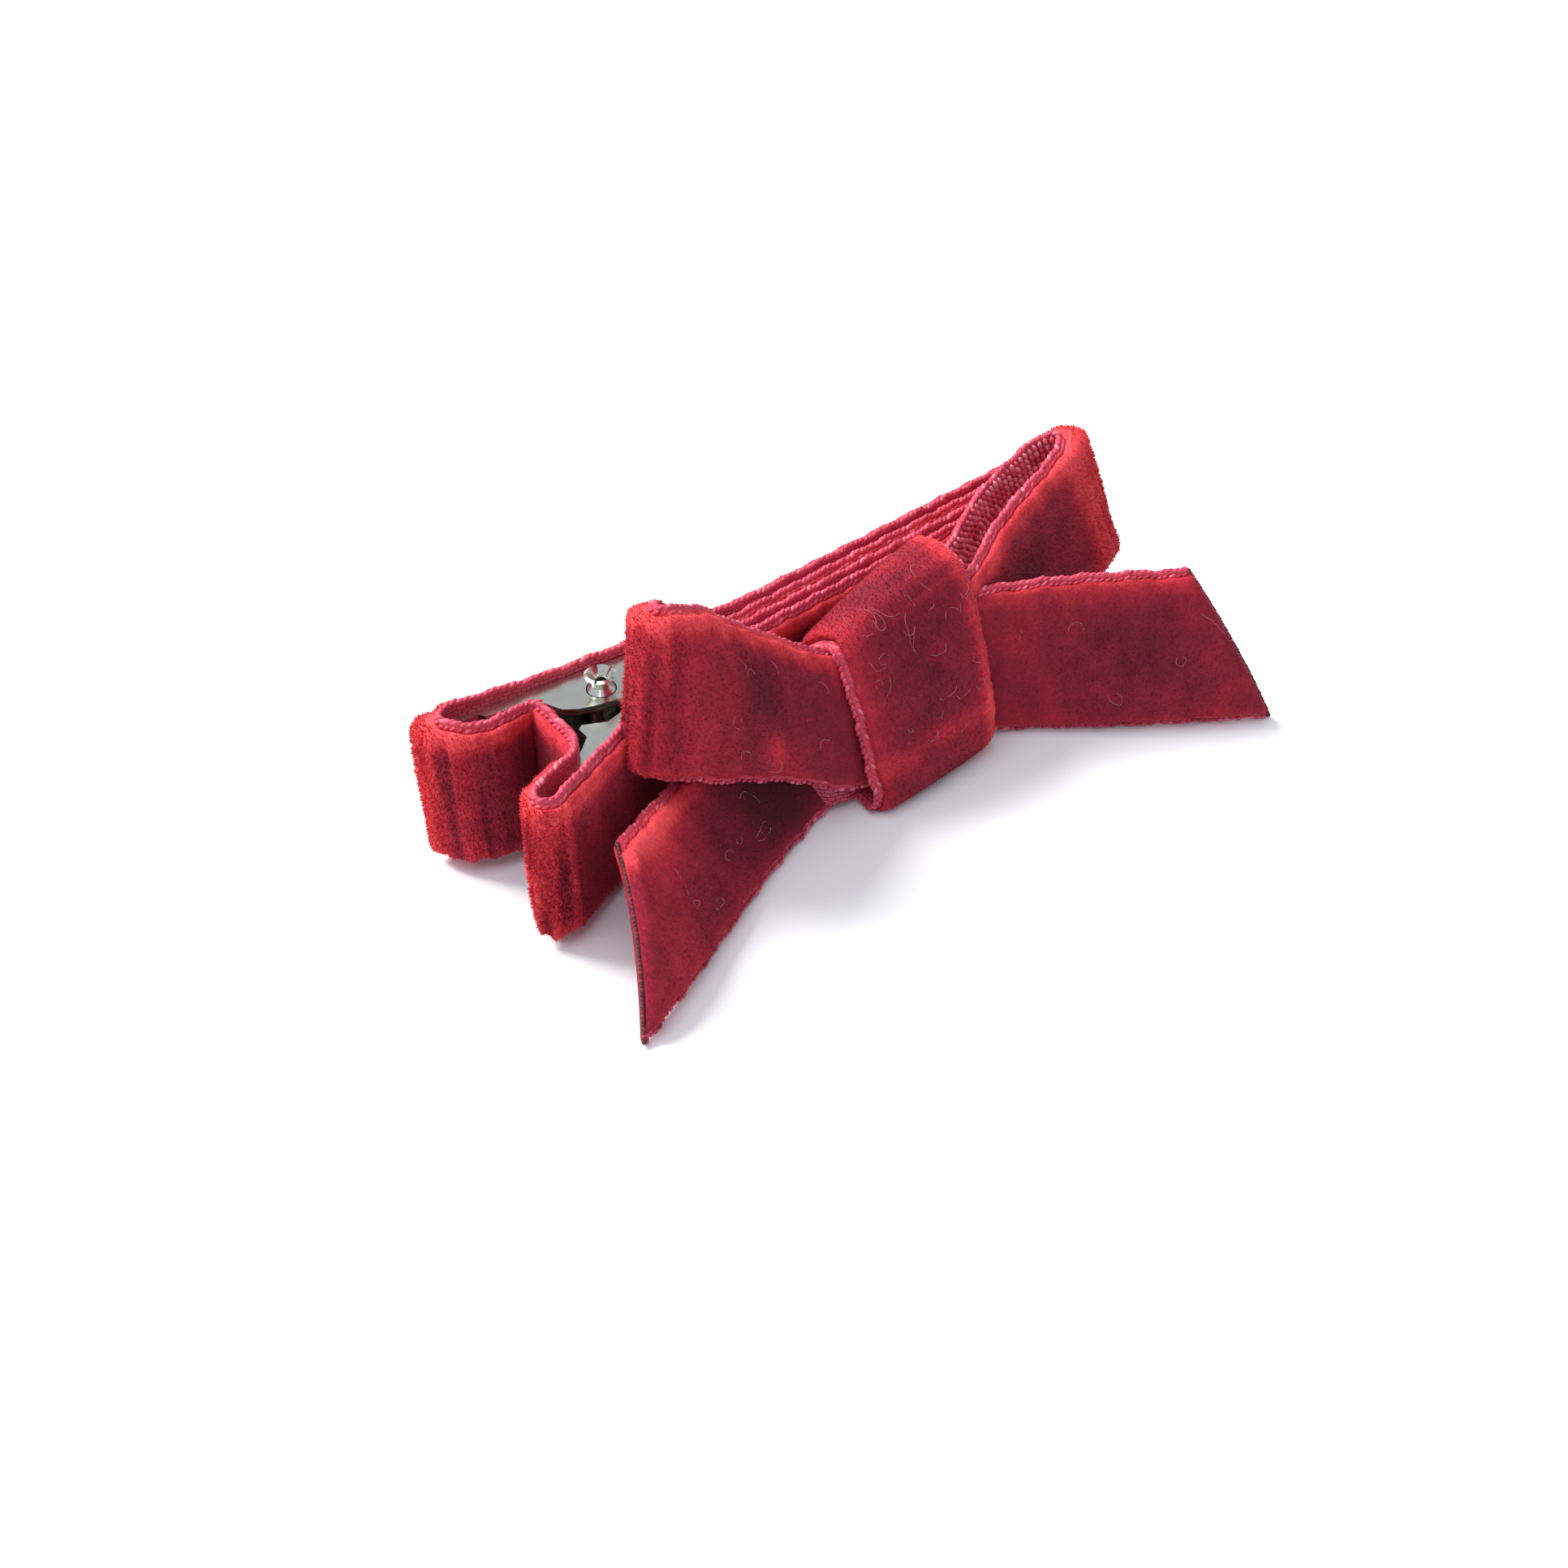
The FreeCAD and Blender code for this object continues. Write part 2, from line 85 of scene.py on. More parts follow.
print("pin at", [round(c / MM, 2) for c in pin], "mm")

# %% [markdown]
# Step 2, the camera. It looks down at the front of the clip from the left, with a mild wide
# lens, close to the object as a phone is held. It comes first, so each later step can be looked at.

# %% Camera
lens = bpy.data.cameras.new("camera")
lens.sensor_width = 36.0
lens.lens = 38.2
lens.clip_start = 0.002
lens.clip_end = 10.0
camera = in_scene("camera", lens)
camera.location = Vector((-53.70, -53.58, 67.58)) * MM
aim = Vector((-4.142, 2.793, 0.0)) * MM
camera.rotation_euler = (aim - camera.location).to_track_quat("-Z", "Y").to_euler()
scene.camera = camera
print("camera distance", round((aim - camera.location).length / MM, 1), "mm")

# %% [markdown]
# Step 3, helpers for materials. Colours are written as the hex codes a designer picks,
# and one function turns them into the linear values that shaders add up in. Another
# adds one node with its settings and links, so a material reads as a short list. The last
# ones start a material, fill a colour ramp and finish a shader, which every material needs.

# %% Colour and node helpers
def colour(code):
    """An sRGB hex colour as linear red, green, blue and alpha."""
    parts = [int(code[i:i + 2], 16) / 255 for i in (1, 3, 5)]
    return [c / 12.92 if c <= 0.04045 else ((c + 0.055) / 1.055) ** 2.4 for c in parts] + [1.0]


def feed(node, **inputs):
    """Set a node's inputs: to values, or linked from sockets or from other nodes' first outputs."""
    for key, source in inputs.items():
        socket = node.inputs[int(key[3:]) if key.startswith("in_") else key.replace("_", " ")]
        if isinstance(source, bpy.types.Node):
            source = source.outputs[0]
        if isinstance(source, bpy.types.NodeSocket):
            node.id_data.links.new(source, socket)
        else:
            socket.default_value = source


def add_node(tree, kind, settings=None, **inputs):
    """Add a node with its settings, which are its properties, and its inputs."""
    node = tree.nodes.new(kind)
    for key, setting in (settings or {}).items():
        setattr(node, key, setting)
    feed(node, **inputs)
    return node


def new_material(name):
    """An empty material, its Principled shader and what adds nodes to its tree."""
    material = bpy.data.materials.new(name)
    material.use_nodes = True
    material.node_tree.nodes.clear()
    add = functools.partial(add_node, material.node_tree)
    shader = add("ShaderNodeBsdfPrincipled")
    add("ShaderNodeOutputMaterial", in_0=shader)
    material.diffuse_color = colour("#9A2333")
    return material, shader, add


def fill_ramp(ramp, stops):
    """Give a colour ramp node its (place, hex) stops."""
    marks = ramp.color_ramp.elements
    while len(marks) < len(stops):
        marks.new(0.5)
    for mark, (place, code) in zip(marks, stops):
        mark.position = place
        mark.color = colour(code)


def finish_shader(shader, tint, height, strength, depth, invert=False, **values):
    """Link a shader's colour, roughen it with a bump that is depth mm deep, and set its values."""
    bump = add_node(shader.id_data, "ShaderNodeBump", {"invert": invert}, Height=height,
                    Strength=strength, Distance=depth * MM)
    feed(shader, Base_Color=tint, Normal=bump, **values)

# %% [markdown]
# Step 4, the velvet's pile. Velvet is woven with an extra yarn that is cut, so thousands of
# nylon ends stand up from the ribbon. Looked at straight into the ends they swallow light and
# are nearly black red. Where they lean or a fold opens them, their glossy sides show bright.
# That light is painted: each ribbon carries a value from 0 for upright to 1 for open, with painted sheen
# and painted shade added, and the colour follows it.

# %% Cut pile
# Yarn ends are about 0.04 mm across. They are drawn in clumps of 0.2 mm so they can be seen.
CLUMPS_PER_MM, DRIFTS_PER_MM = 5.2, 0.52
# The pile's reds, from painted shade on upright pile at 0 to painted sheen on open pile at 1.
PILE_SHADE_TO_SHEEN = [(0.0, "#47111F"), (0.25, "#681728"), (0.5, "#8F1F31"), (0.75, "#B92D3A"), (1.0, "#DE4A50")]


def make_pile():
    material, shader, add = new_material("cut_nylon_pile")
    lay = add("ShaderNodeAttribute", {"attribute_name": "lay"})
    place = add("ShaderNodeTexCoord").outputs["Object"]
    clumps = add("ShaderNodeTexNoise", Vector=place, Scale=CLUMPS_PER_MM / MM, Detail=3.0)
    drifts = add("ShaderNodeTexNoise", Vector=place, Scale=DRIFTS_PER_MM / MM, Detail=2.0)
    fine = add("ShaderNodeMath", {"operation": "MULTIPLY_ADD"}, in_0=clumps, in_1=0.34, in_2=-0.17)
    broad = add("ShaderNodeMath", {"operation": "MULTIPLY_ADD"}, in_0=drifts, in_1=0.36, in_2=-0.18)
    both = add("ShaderNodeMath", in_0=fine, in_1=broad)
    # Painted sheen and shade set the pile's colour, with clump and drift noise for its grain.
    total = add("ShaderNodeMath", {"use_clamp": True}, in_0=lay.outputs["Fac"], in_1=both)
    tint = add("ShaderNodeValToRGB", Fac=total)
    fill_ramp(tint, PILE_SHADE_TO_SHEEN)
    finish_shader(shader, tint, clumps, 0.5, 0.08, Roughness=0.82, Specular_IOR_Level=0.18,
                  Sheen_Weight=0.30, Sheen_Roughness=0.38, Sheen_Tint=colour("#E8443C"))
    return material


pile = make_pile()

# %% [markdown]
# Step 5, the ribbon's other threads. The back of the ribbon is a smooth satin of the same dyed
# yarn, and each long edge, the selvedge, is a tight row of thread loops without pile.
# Both are pinker and shinier than the pile, because here the yarn lies flat.

# %% Woven backing and selvedge thread
THREAD_STOPS = [(0.0, "#97203A"), (0.45, "#C53850"), (0.85, "#D64D65"), (1.0, "#E3788B")]
PLIES_PER_MM = 9.0


def make_backing():
    material, shader, add = new_material("woven_satin_backing")
    flat = add("ShaderNodeUVMap", {"uv_map": "ribbon"})
    # The map counts centimetres along and across; floats of the weave are 0.55 by 0.24 mm.
    weave = add("ShaderNodeTexBrick", {"offset": 0.5}, Vector=flat, Scale=1.0,
                Mortar_Size=0.003, Mortar_Smooth=0.8, Brick_Width=0.055, Row_Height=0.024,
                Color1=colour("#C83C54"), Color2=colour("#B02C44"), Mortar=colour("#6A1428"))
    finish_shader(shader, weave.outputs["Color"], weave.outputs["Fac"], 0.8, 0.1, invert=True,
                  Roughness=0.42, Sheen_Weight=0.05, Sheen_Tint=colour("#F07A88"))
    return material


def make_thread():
    material, shader, add = new_material("twisted_selvedge_thread")
    tone = add("ShaderNodeAttribute", {"attribute_name": "tone"})
    tint = add("ShaderNodeValToRGB", Fac=tone.outputs["Fac"])
    fill_ramp(tint, THREAD_STOPS)
    place = add("ShaderNodeTexCoord").outputs["Object"]
    plies = add("ShaderNodeTexNoise", Vector=place, Scale=PLIES_PER_MM / MM, Detail=1.0)
    finish_shader(shader, tint, plies, 0.4, 0.03, Roughness=0.62,
                  Sheen_Weight=0.05, Sheen_Tint=colour("#F59AA6"))
    return material


backing = make_backing()
thread = make_thread()

# %% [markdown]
# Step 6, a ribbon from its two edges. A ribbon is known once its lower and upper selvedges are
# known: everything between is a straight line across, raised in the middle where it bulges. So
# each strip is a short list of stations, each with a lower point, an upper point, how tall the
# pile stands there and, for some, the height of the bulge. A smooth curve runs through them,
# and its turns tell where the pile opens (outside a bend) or is crushed (inside one).

# %% Smooth the stations
BACKING = 0.40      # thickness of the woven ground, mm
PILE = 0.62         # height of the pile above it, mm
EDGE = 0.55         # width of the bare selvedge, mm
CURVE_STEPS = 14    # points of the smooth curve from one station to the next
BEND_ROOM = 0.7     # room that a bend leaves inside it, as a share of its radius
LEAST_PILE = 0.12   # height that crushed pile keeps, mm
FREE = 9.0          # more room than any pile needs, mm


def smooth_rows(rows, closed=False):
    """A curve through rows of numbers, with tangents that suit uneven gaps between them."""
    rows = np.array(rows, float)
    if closed:
        rows = np.vstack([rows[-1:], rows, rows[:2]])
    else:
        rows = np.vstack([2 * rows[:1] - rows[1:2], rows, 2 * rows[-1:] - rows[-2:-1]])
    gaps = np.sqrt(np.linalg.norm(np.diff(rows[:, :6], axis=0), axis=1))
    out = []
    for k in range(len(rows) - 3):
        a, b, c, d = rows[k:k + 4]
        g0, g1, g2 = gaps[k:k + 3]
        leave = g1 * ((b - a) / g0 - (c - a) / (g0 + g1) + (c - b) / g1)
        reach = g1 * ((c - b) / g1 - (d - b) / (g1 + g2) + (d - c) / g2)
        for t in np.arange(CURVE_STEPS) / CURVE_STEPS:
            out.append((2 * t ** 3 - 3 * t ** 2 + 1) * b + (t ** 3 - 2 * t ** 2 + t) * leave
                       + (3 * t ** 2 - 2 * t ** 3) * c + (t ** 3 - t ** 2) * reach)
    out.append(rows[-2])
    return np.array(out)


def unit(v):
    return v / np.maximum(np.linalg.norm(v, axis=-1, keepdims=True), 1e-12)


def softened(values, passes, closed=False):
    """A running average, so a quantity changes gently along the ribbon."""
    for _ in range(passes):
        padded = np.concatenate([values[-2:-1] if closed else values[:1], values,
                                 values[1:2] if closed else values[-1:]])
        values = (padded[:-2] + 2 * padded[1:-1] + padded[2:]) / 4
    return values


class Ribbon:
    """A strip of ribbon laid through its stations, ready to be sampled anywhere."""

    def __init__(self, stations, closed=False, spacing=0.18, pile_side=1, openness=1.0):
        rows = [[*(clip_point(*low) / MM), *(clip_point(*high) / MM), tall, crown[0] if crown else 0]
                for low, high, tall, *crown in stations]
        rows = smooth_rows(rows, closed)
        middle = (rows[:, :3] + rows[:, 3:6]) / 2
        run = np.concatenate([[0], np.cumsum(np.linalg.norm(np.diff(middle, axis=0), axis=1))])
        self.length, self.openness = run[-1], openness
        self.station_run = run[::CURVE_STEPS]
        count = int(round(self.length / spacing)) + 1
        self.run = np.linspace(0, self.length, count)
        rows = np.stack([np.interp(self.run, run, rows[:, k]) for k in range(8)], axis=1)
        rows[:, :6] = softened(rows[:, :6], 1, closed)
        self.low, self.high, self.crown, self.closed = rows[:, :3], rows[:, 3:6], rows[:, 7], closed
        middle = (self.low + self.high) / 2
        across = unit(self.high - self.low)
        ahead = np.gradient(middle, axis=0)
        if closed:
            ahead[0] = ahead[-1] = middle[1] - middle[-2]
        ahead = unit(ahead)
        self.out = pile_side * unit(softened(np.cross(ahead, across), 2, closed))
        turn = np.gradient(ahead, axis=0)
        if closed:
            turn[0] = turn[-1] = (ahead[1] - ahead[-2]) / 2
        turn = (turn * self.out).sum(axis=1) / np.gradient(self.run)
        turn = softened(turn, 3, closed)
        # Outside a bend the pile opens; inside one it has less room than the bend's radius.
        self.bend = softened(np.clip(-turn * 0.9, 0, 1), 2, closed)
        room = np.where(turn > 0.05, BEND_ROOM / np.maximum(turn, 0.05) - BACKING, FREE)
        tall = np.minimum(rows[:, 6] * PILE, np.clip(room, LEAST_PILE, FREE))
        self.tall = softened(tall, 3, closed)

    def part(self, start, end):
        """The same ribbon, kept only from one place along it to another."""
        short = Ribbon.__new__(Ribbon)
        short.__dict__.update(self.__dict__)
        keep = np.concatenate([[start], self.run[(self.run > start + 0.1) & (self.run < end - 0.1)], [end]])
        short.low, short.high, short.out, short.tall, short.bend, short.crown = self.at(keep)
        short.run = keep
        short.length = end - start
        return short

    def at(self, run):
        """Lower point, upper point, outward direction, pile height, bend and crown along it."""
        return [np.stack([np.interp(run, self.run, part[:, k]) for k in range(3)], axis=-1)
                for part in (self.low, self.high, self.out)] + [
                np.interp(run, self.run, part) for part in (self.tall, self.bend, self.crown)]

# %% [markdown]
# Step 7, the cross-section of velvet ribbon. Going round it: the flat woven back, a rounded bare
# selvedge, the shoulder of the pile leaning out over it, the pile's crowned top, and the other
# side the same. The section is swept along the ribbon as one closed skin, with caps at cut ends.
# Along the way each point notes how open the pile is, with painted sheen and shade added, and its comb
# (which way it leans).

# %% Cross-section and skin
TOP_COLUMNS = 21    # points across the top of the pile
UNDER_COLUMNS = 12  # steps across the woven back
HANG = 0.5          # how far the lowest pile hangs down round a bend, mm
CREASE = 0.12       # how narrow the partings between clumps are, as a share of the noise
FRINGE_HIGHLIGHT = 0.75       # width of the painted highlight beside the upper selvedge, where the pile fringes, mm
TABLE_SKIN = 0.02   # least height of a strip's skin above the table, mm
TABLE_THREAD = 0.2  # least height of a thread's middle line, mm


def section():
    """Rows of: share across, mm added across, half-backings out, piles out, material."""
    half = [(0, 0.16, -1, 0, 1), (0, 0.03, -0.6, 0, 2), (0, 0.0, 0, 0, 2), (0, 0.05, 0.7, 0, 2),
            (0, 0.22, 1, 0, 2), (0, EDGE, 1, 0.05, 0), (0, EDGE - 0.16, 1, 0.45, 0),
            (0, EDGE - 0.06, 1, 0.78, 0), (0, EDGE + 0.16, 1, 0.95, 0)]
    top = [(k / (TOP_COLUMNS - 1), (EDGE + 0.42) * (1 - 2 * k / (TOP_COLUMNS - 1)), 1, 1.0, 0)
           for k in range(TOP_COLUMNS)]
    other = [(1, -m, b, p, mat) for _, m, b, p, mat in reversed(half)]
    under = [(1 - k / UNDER_COLUMNS, -0.16 + 0.32 * k / UNDER_COLUMNS, -1, 0, 1)
             for k in range(1, UNDER_COLUMNS)]
    return half + top + other + under


SECTION = section()
PILE_FROM = 6  # the section's standing pile starts at this column and stops before PILE_TO
PILE_TO = PILE_FROM + 3 + TOP_COLUMNS + 3


def ripple(points, scale, seed):
    """Smooth noise from -1 to 1 at each point of a grid of points."""
    shift = Vector((seed * 7.13, seed * 3.71, seed * 5.37))
    values = [noise.noise(Vector(p) * scale + shift) for p in points.reshape(-1, 3)]
    return np.array(values).reshape(points.shape[:-1])


def edge_wave(run, seed):
    """How far a woven edge strays sideways along its length, mm."""
    return 0.05 * np.sin(run * 2.3 + seed) + 0.04 * np.sin(run * 5.1 + 2 * seed)


def bulge(crown, share):
    """How far the ribbon is raised at a share of the way across, mm."""
    return crown * 4 * share * (1 - share)


def skin(ribbon, cut, marks, seed, base, rim):
    """Points, pile openness with painted sheen and shade, comb, flat place and bend of the swept section.

    A mark paints a patch of highlight (positive) or shade (negative) onto the pile: (mm along, share
    across, its reach along, its spread across, how much).
    """
    sec = np.array([row[:4] for row in SECTION])
    rows, columns = len(ribbon.run), len(sec)
    share = np.broadcast_to(sec[:, 0], (rows, columns))
    width = np.linalg.norm(ribbon.high - ribbon.low, axis=1)
    shear = 1 - cut * (share + sec[:, 1] / width.mean()) / ribbon.length
    run = ribbon.run[:, None] * shear
    low, high, out, tall, bend, crown = ribbon.at(run)
    side = high - low
    span = np.linalg.norm(side, axis=-1)
    side = side / span[..., None]
    from_low = sec[:, 0] * span + sec[:, 1]
    along_only = np.stack([run * 2.4, run * 0, run * 0 + seed * 3.0], axis=-1)
    clump = ripple(along_only, 1.0, seed + 5)
    # Round a bend the lowest pile hangs down in clumps, because its rows open there.
    hangs = (sec[:, 0] == 0) & (sec[:, 3] > 0.3)
    drop = HANG * bend * ribbon.openness * np.clip(0.3 + 1.6 * clump, -0.8, 1)
    from_low = from_low - np.where(hangs, drop, 0)
    to_edge = np.minimum(from_low, span - from_low)
    flat = np.stack([run * 0.9, from_low * 0.35, np.full_like(run, seed * 3.0)], axis=-1)
    tuck = ripple(flat * [2.2, 0.2, 1], 1.0, seed)
    crease = np.exp(-(tuck / CREASE) ** 2)
    soft = ripple(flat, 0.9, seed + 11)
    grain = ripple(flat * [2.0, 4.0, 1], 1.6, seed + 23)
    streak = ripple(flat * [4.6, 0.2, 1], 1.0, seed + 37)
    is_pile = sec[:, 3] > 0.3
    opened = 0.35 * tuck + 0.18 * streak - 0.45 * crease
    bend = bend * ribbon.openness
    height = tall * sec[:, 3] * (1 + np.where(is_pile, 0.05 * grain + 0.07 * soft + bend * opened, 0))
    if not ribbon.closed and cut:
        height = height * np.clip((shear * ribbon.length - run) / 0.5 + 0.25, 0.25, 1)
    part_across = from_low / span
    lift = sec[:, 2] * BACKING / 2 + height + bulge(crown, part_across)
    sideways = np.where(to_edge < 0.8, np.sign(from_low - span / 2) * edge_wave(run, seed), 0)
    points = low + side * (from_low + sideways)[..., None] + out * lift[..., None]
    points[..., 2] = np.maximum(points[..., 2], TABLE_SKIN)
    # The last rows of pile lean out over the upper selvedge, and there the pile gets a ragged band of
    # painted highlight for their lit sides.
    from_fringe = span - from_low - EDGE - FRINGE_HIGHLIGHT - 0.22 * streak
    lay = base + rim / (1 + np.exp(from_fringe / 0.12)) + 0.10 * np.exp(-from_fringe.clip(0) / 1.2)
    # A fainter painted highlight runs along the lower edge.
    lay = lay + 0.20 * np.exp(-(from_low / 0.9) ** 2)
    # Random tone and streaks, with painted sheen on the outside of bends and painted shade in the partings
    # between clumps.
    lay = lay + 0.08 * soft + bend * (0.44 + 0.30 * tuck - 0.55 * crease) + 0.17 * (0.2 + bend) * streak
    # Each mark adds a patch of painted highlight, or of painted shade where it is negative.
    for along, across, reach, spread, much in marks:
        far = ((run - along) / reach) ** 2, ((part_across - across) / spread) ** 2
        lay = lay + much * np.exp(-far[0] - far[1])
    lean = np.clip((part_across - 0.5) * 2, -1, 1)
    comb = side * (np.sign(lean) * np.exp(-(to_edge - EDGE) / 0.35) * 1.3)[..., None]
    comb = comb + unit(np.gradient(points, axis=0)) * (0.25 * soft + 0.7 * bend * tuck)[..., None]
    return points, np.clip(lay, 0, 1), comb, np.stack([run, from_low], axis=-1), bend


def grid_faces(rows, columns, closed):
    """Quads round the section and along the ribbon, and which material each one has."""
    faces, kinds = [], []
    last = rows - 1
    for i in range(last):
        j = (i + 1) % last if closed else i + 1
        for k in range(columns):
            n = (k + 1) % columns
            faces.append((i * columns + k, i * columns + n, j * columns + n, j * columns + k))
            kinds.append(SECTION[k][4] if SECTION[n][4] != 0 else min(SECTION[k][4], 2))
    return faces, kinds


def mesh_object(name, points, faces, materials, kinds=None):
    """A smooth-shaded mesh in the scene from millimetre points."""
    mesh = bpy.data.meshes.new(name)
    mesh.from_pydata([tuple(p * MM) for p in np.asarray(points).reshape(-1, 3)], [], faces)
    for material in materials:
        mesh.materials.append(material)
    if kinds is not None:
        mesh.polygons.foreach_set("material_index", kinds)
    mesh.polygons.foreach_set("use_smooth", [True] * len(mesh.polygons))
    return in_scene(name, mesh)


def line_object(name, points, edges):
    """Bare lines through millimetre points, for a Geometry Nodes tree to build on."""
    mesh = bpy.data.meshes.new(name)
    mesh.from_pydata([tuple(p * MM) for p in points], edges, [])
    return in_scene(name + "_line", mesh)


def write_values(mesh, **layers):
    """Store values, or directions of three numbers, at the points of a mesh under their names."""
    for name, values in layers.items():
        flat = np.asarray(values, dtype=np.float32).ravel()
        kind, part = ("FLOAT", "value") if flat.size == len(mesh.vertices) else ("FLOAT_VECTOR", "vector")
        mesh.attributes.new(name, kind, "POINT").data.foreach_set(part, flat)


def outward(mesh, merge=0.0):
    """Merge points nearer than so many millimetres, then turn every face of a skin outwards."""
    work = bmesh.new()
    work.from_mesh(mesh)
    if merge:
        bmesh.ops.remove_doubles(work, verts=work.verts, dist=merge * MM)
    bmesh.ops.recalc_face_normals(work, faces=work.faces)
    work.to_mesh(mesh)
    work.free()


def ribbon_skin(name, ribbon, swept):
    """The closed velvet strip itself, with its pile, selvedges and back."""
    points, lay, _, flat, _ = swept
    rows, columns = points.shape[:2]
    if ribbon.closed:
        points, lay, flat = points[:-1], lay[:-1], flat[:-1]
    faces, kinds = grid_faces(rows, columns, ribbon.closed)
    if not ribbon.closed:
        faces += [tuple(range(columns)), tuple((rows - 1) * columns + k for k in range(columns))[::-1]]
        kinds += [0, 0]
    made = mesh_object(name, points, faces, [pile, backing, thread], kinds)
    for cap in made.data.polygons[len(faces) - (0 if ribbon.closed else 2):]:  # cut ends are flat
        cap.use_smooth = False
    outward(made.data)
    write_values(made.data, lay=lay, tone=np.full_like(lay, 0.35))
    layer = made.data.uv_layers.new(name="ribbon")
    spots = flat.reshape(-1, 2) / 10
    ids = np.empty(len(made.data.loops), dtype=np.int64)
    made.data.loops.foreach_get("vertex_index", ids)
    layer.data.foreach_set("uv", spots[ids].astype(np.float32).ravel())
    return made

# %% [markdown]
# Step 8, the pile's tufts. A smooth skin looks like rubber at its outline, where real velvet has
# a soft fringe. So short pointed tufts stand all over the pile, leaning as it is combed, taller on
# bends. They are made by Geometry Nodes: points scattered on the pile's surface, one small
# closed spike on each, turned to the surface's normal plus its comb plus a little chance.

# %% Tuft tree
def new_tree(name, *measures, **others):
    """A Geometry Nodes tree's input, its output and what adds nodes to it. Its inputs have names."""
    tree = bpy.data.node_groups.new(name, "GeometryNodeTree")
    for way in ("INPUT", "OUTPUT"):
        tree.interface.new_socket("Geometry", in_out=way, socket_type="NodeSocketGeometry")
    for label, kind in {**dict.fromkeys(measures, "Float"), **others}.items():
        tree.interface.new_socket(label, in_out="INPUT", socket_type=f"NodeSocket{kind}")
    add = functools.partial(add_node, tree)
    return add("NodeGroupInput"), add("NodeGroupOutput"), add


def end_tree(add, geometry, given, result, smooth=False):
    """Make the instances real, give them the named finish, send them out and return the tree."""
    real = add("GeometryNodeRealizeInstances", Geometry=geometry)
    if smooth:
        real = add("GeometryNodeSetShadeSmooth", Geometry=real)
    feed(result, in_0=add("GeometryNodeSetMaterial", Geometry=real, Material=given.outputs["Finish"]))
    return result.id_data


def make_tuft_tree():
    given, result, add = new_tree("pile_tufts", "Per Square Metre", "Tuft Height", "Tuft Width",
                                  "Stray", Seed="Int", Finish="Material")
    lay, crowd, reach = [add("GeometryNodeInputNamedAttribute", {"data_type": "FLOAT"}, Name=name)
                         for name in ("lay", "crowd", "reach")]
    comb = add("GeometryNodeInputNamedAttribute", {"data_type": "FLOAT_VECTOR"}, Name="comb")
    tone_chance, size_chance = [
        add("FunctionNodeRandomValue", {"data_type": "FLOAT"}, in_2=low, in_3=high, Seed=seed).outputs[1]
        for low, high, seed in ((-0.09, 0.15, 5), (0.55, 1.25, 9))]
    lean_chance = add("FunctionNodeRandomValue", {"data_type": "FLOAT_VECTOR"},
                      in_0=(-1, -1, -1), in_1=(1, 1, 1), Seed=3)
    number = add("ShaderNodeMath", {"operation": "MULTIPLY"},
                 in_0=given.outputs["Per Square Metre"], in_1=crowd)
    scatter = add("GeometryNodeDistributePointsOnFaces", {"distribute_method": "RANDOM"},
                  Mesh=given.outputs["Geometry"], Density=number,
                  Seed=given.outputs["Seed"])
    stray = add("ShaderNodeVectorMath", {"operation": "SCALE"}, in_0=lean_chance,
                Scale=given.outputs["Stray"])
    combed = add("ShaderNodeVectorMath", in_0=scatter.outputs["Normal"], in_1=comb)
    lean = add("ShaderNodeVectorMath", in_0=combed, in_1=stray)
    turned = add("FunctionNodeAlignRotationToVector", {"axis": "Z"}, Vector=lean)
    # Each tuft keeps the strip's value of painted sheen and shade, plus a random tone.
    tone = add("ShaderNodeMath", in_0=lay, in_1=tone_chance)
    kept = add("GeometryNodeStoreNamedAttribute", {"data_type": "FLOAT", "domain": "POINT"},
               Geometry=scatter.outputs["Points"], Name="lay", Value=tone)
    spike = add("GeometryNodeMeshCone", {"fill_type": "NGON"}, Vertices=3,
                Radius_Bottom=1.0, Radius_Top=0.0, Depth=1.0)
    size = add("ShaderNodeCombineXYZ", X=given.outputs["Tuft Width"],
               Y=given.outputs["Tuft Width"], Z=given.outputs["Tuft Height"])
    grow = add("ShaderNodeMath", {"operation": "MULTIPLY"}, in_0=reach, in_1=size_chance)
    scale = add("ShaderNodeVectorMath", {"operation": "SCALE"}, in_0=size, Scale=grow)
    placed = add("GeometryNodeInstanceOnPoints", Points=kept,
                 Instance=spike.outputs["Mesh"], Rotation=turned, Scale=scale)
    return end_tree(add, placed, given, result)


def grown(name, source, tree, settings):
    """Run a tree on a source object and keep the result as a plain mesh at the origin."""
    modifier = source.modifiers.new("made", "NODES")
    modifier.node_group = tree
    for item in tree.interface.items_tree:
        if item.in_out == "INPUT" and item.name in settings:
            modifier[item.identifier] = settings[item.name]
    source.update_tag()
    bpy.context.view_layer.update()
    seen = source.evaluated_get(bpy.context.evaluated_depsgraph_get())
    mesh = bpy.data.meshes.new_from_object(seen)
    mesh.name = name
    source.modifiers.remove(modifier)
    bpy.data.objects.remove(source)
    return in_scene(name, mesh)


tuft_tree = make_tuft_tree()
TUFTS_PER_MM2 = 52
TUFT_HEIGHT, TUFT_WIDTH = 0.17, 0.034


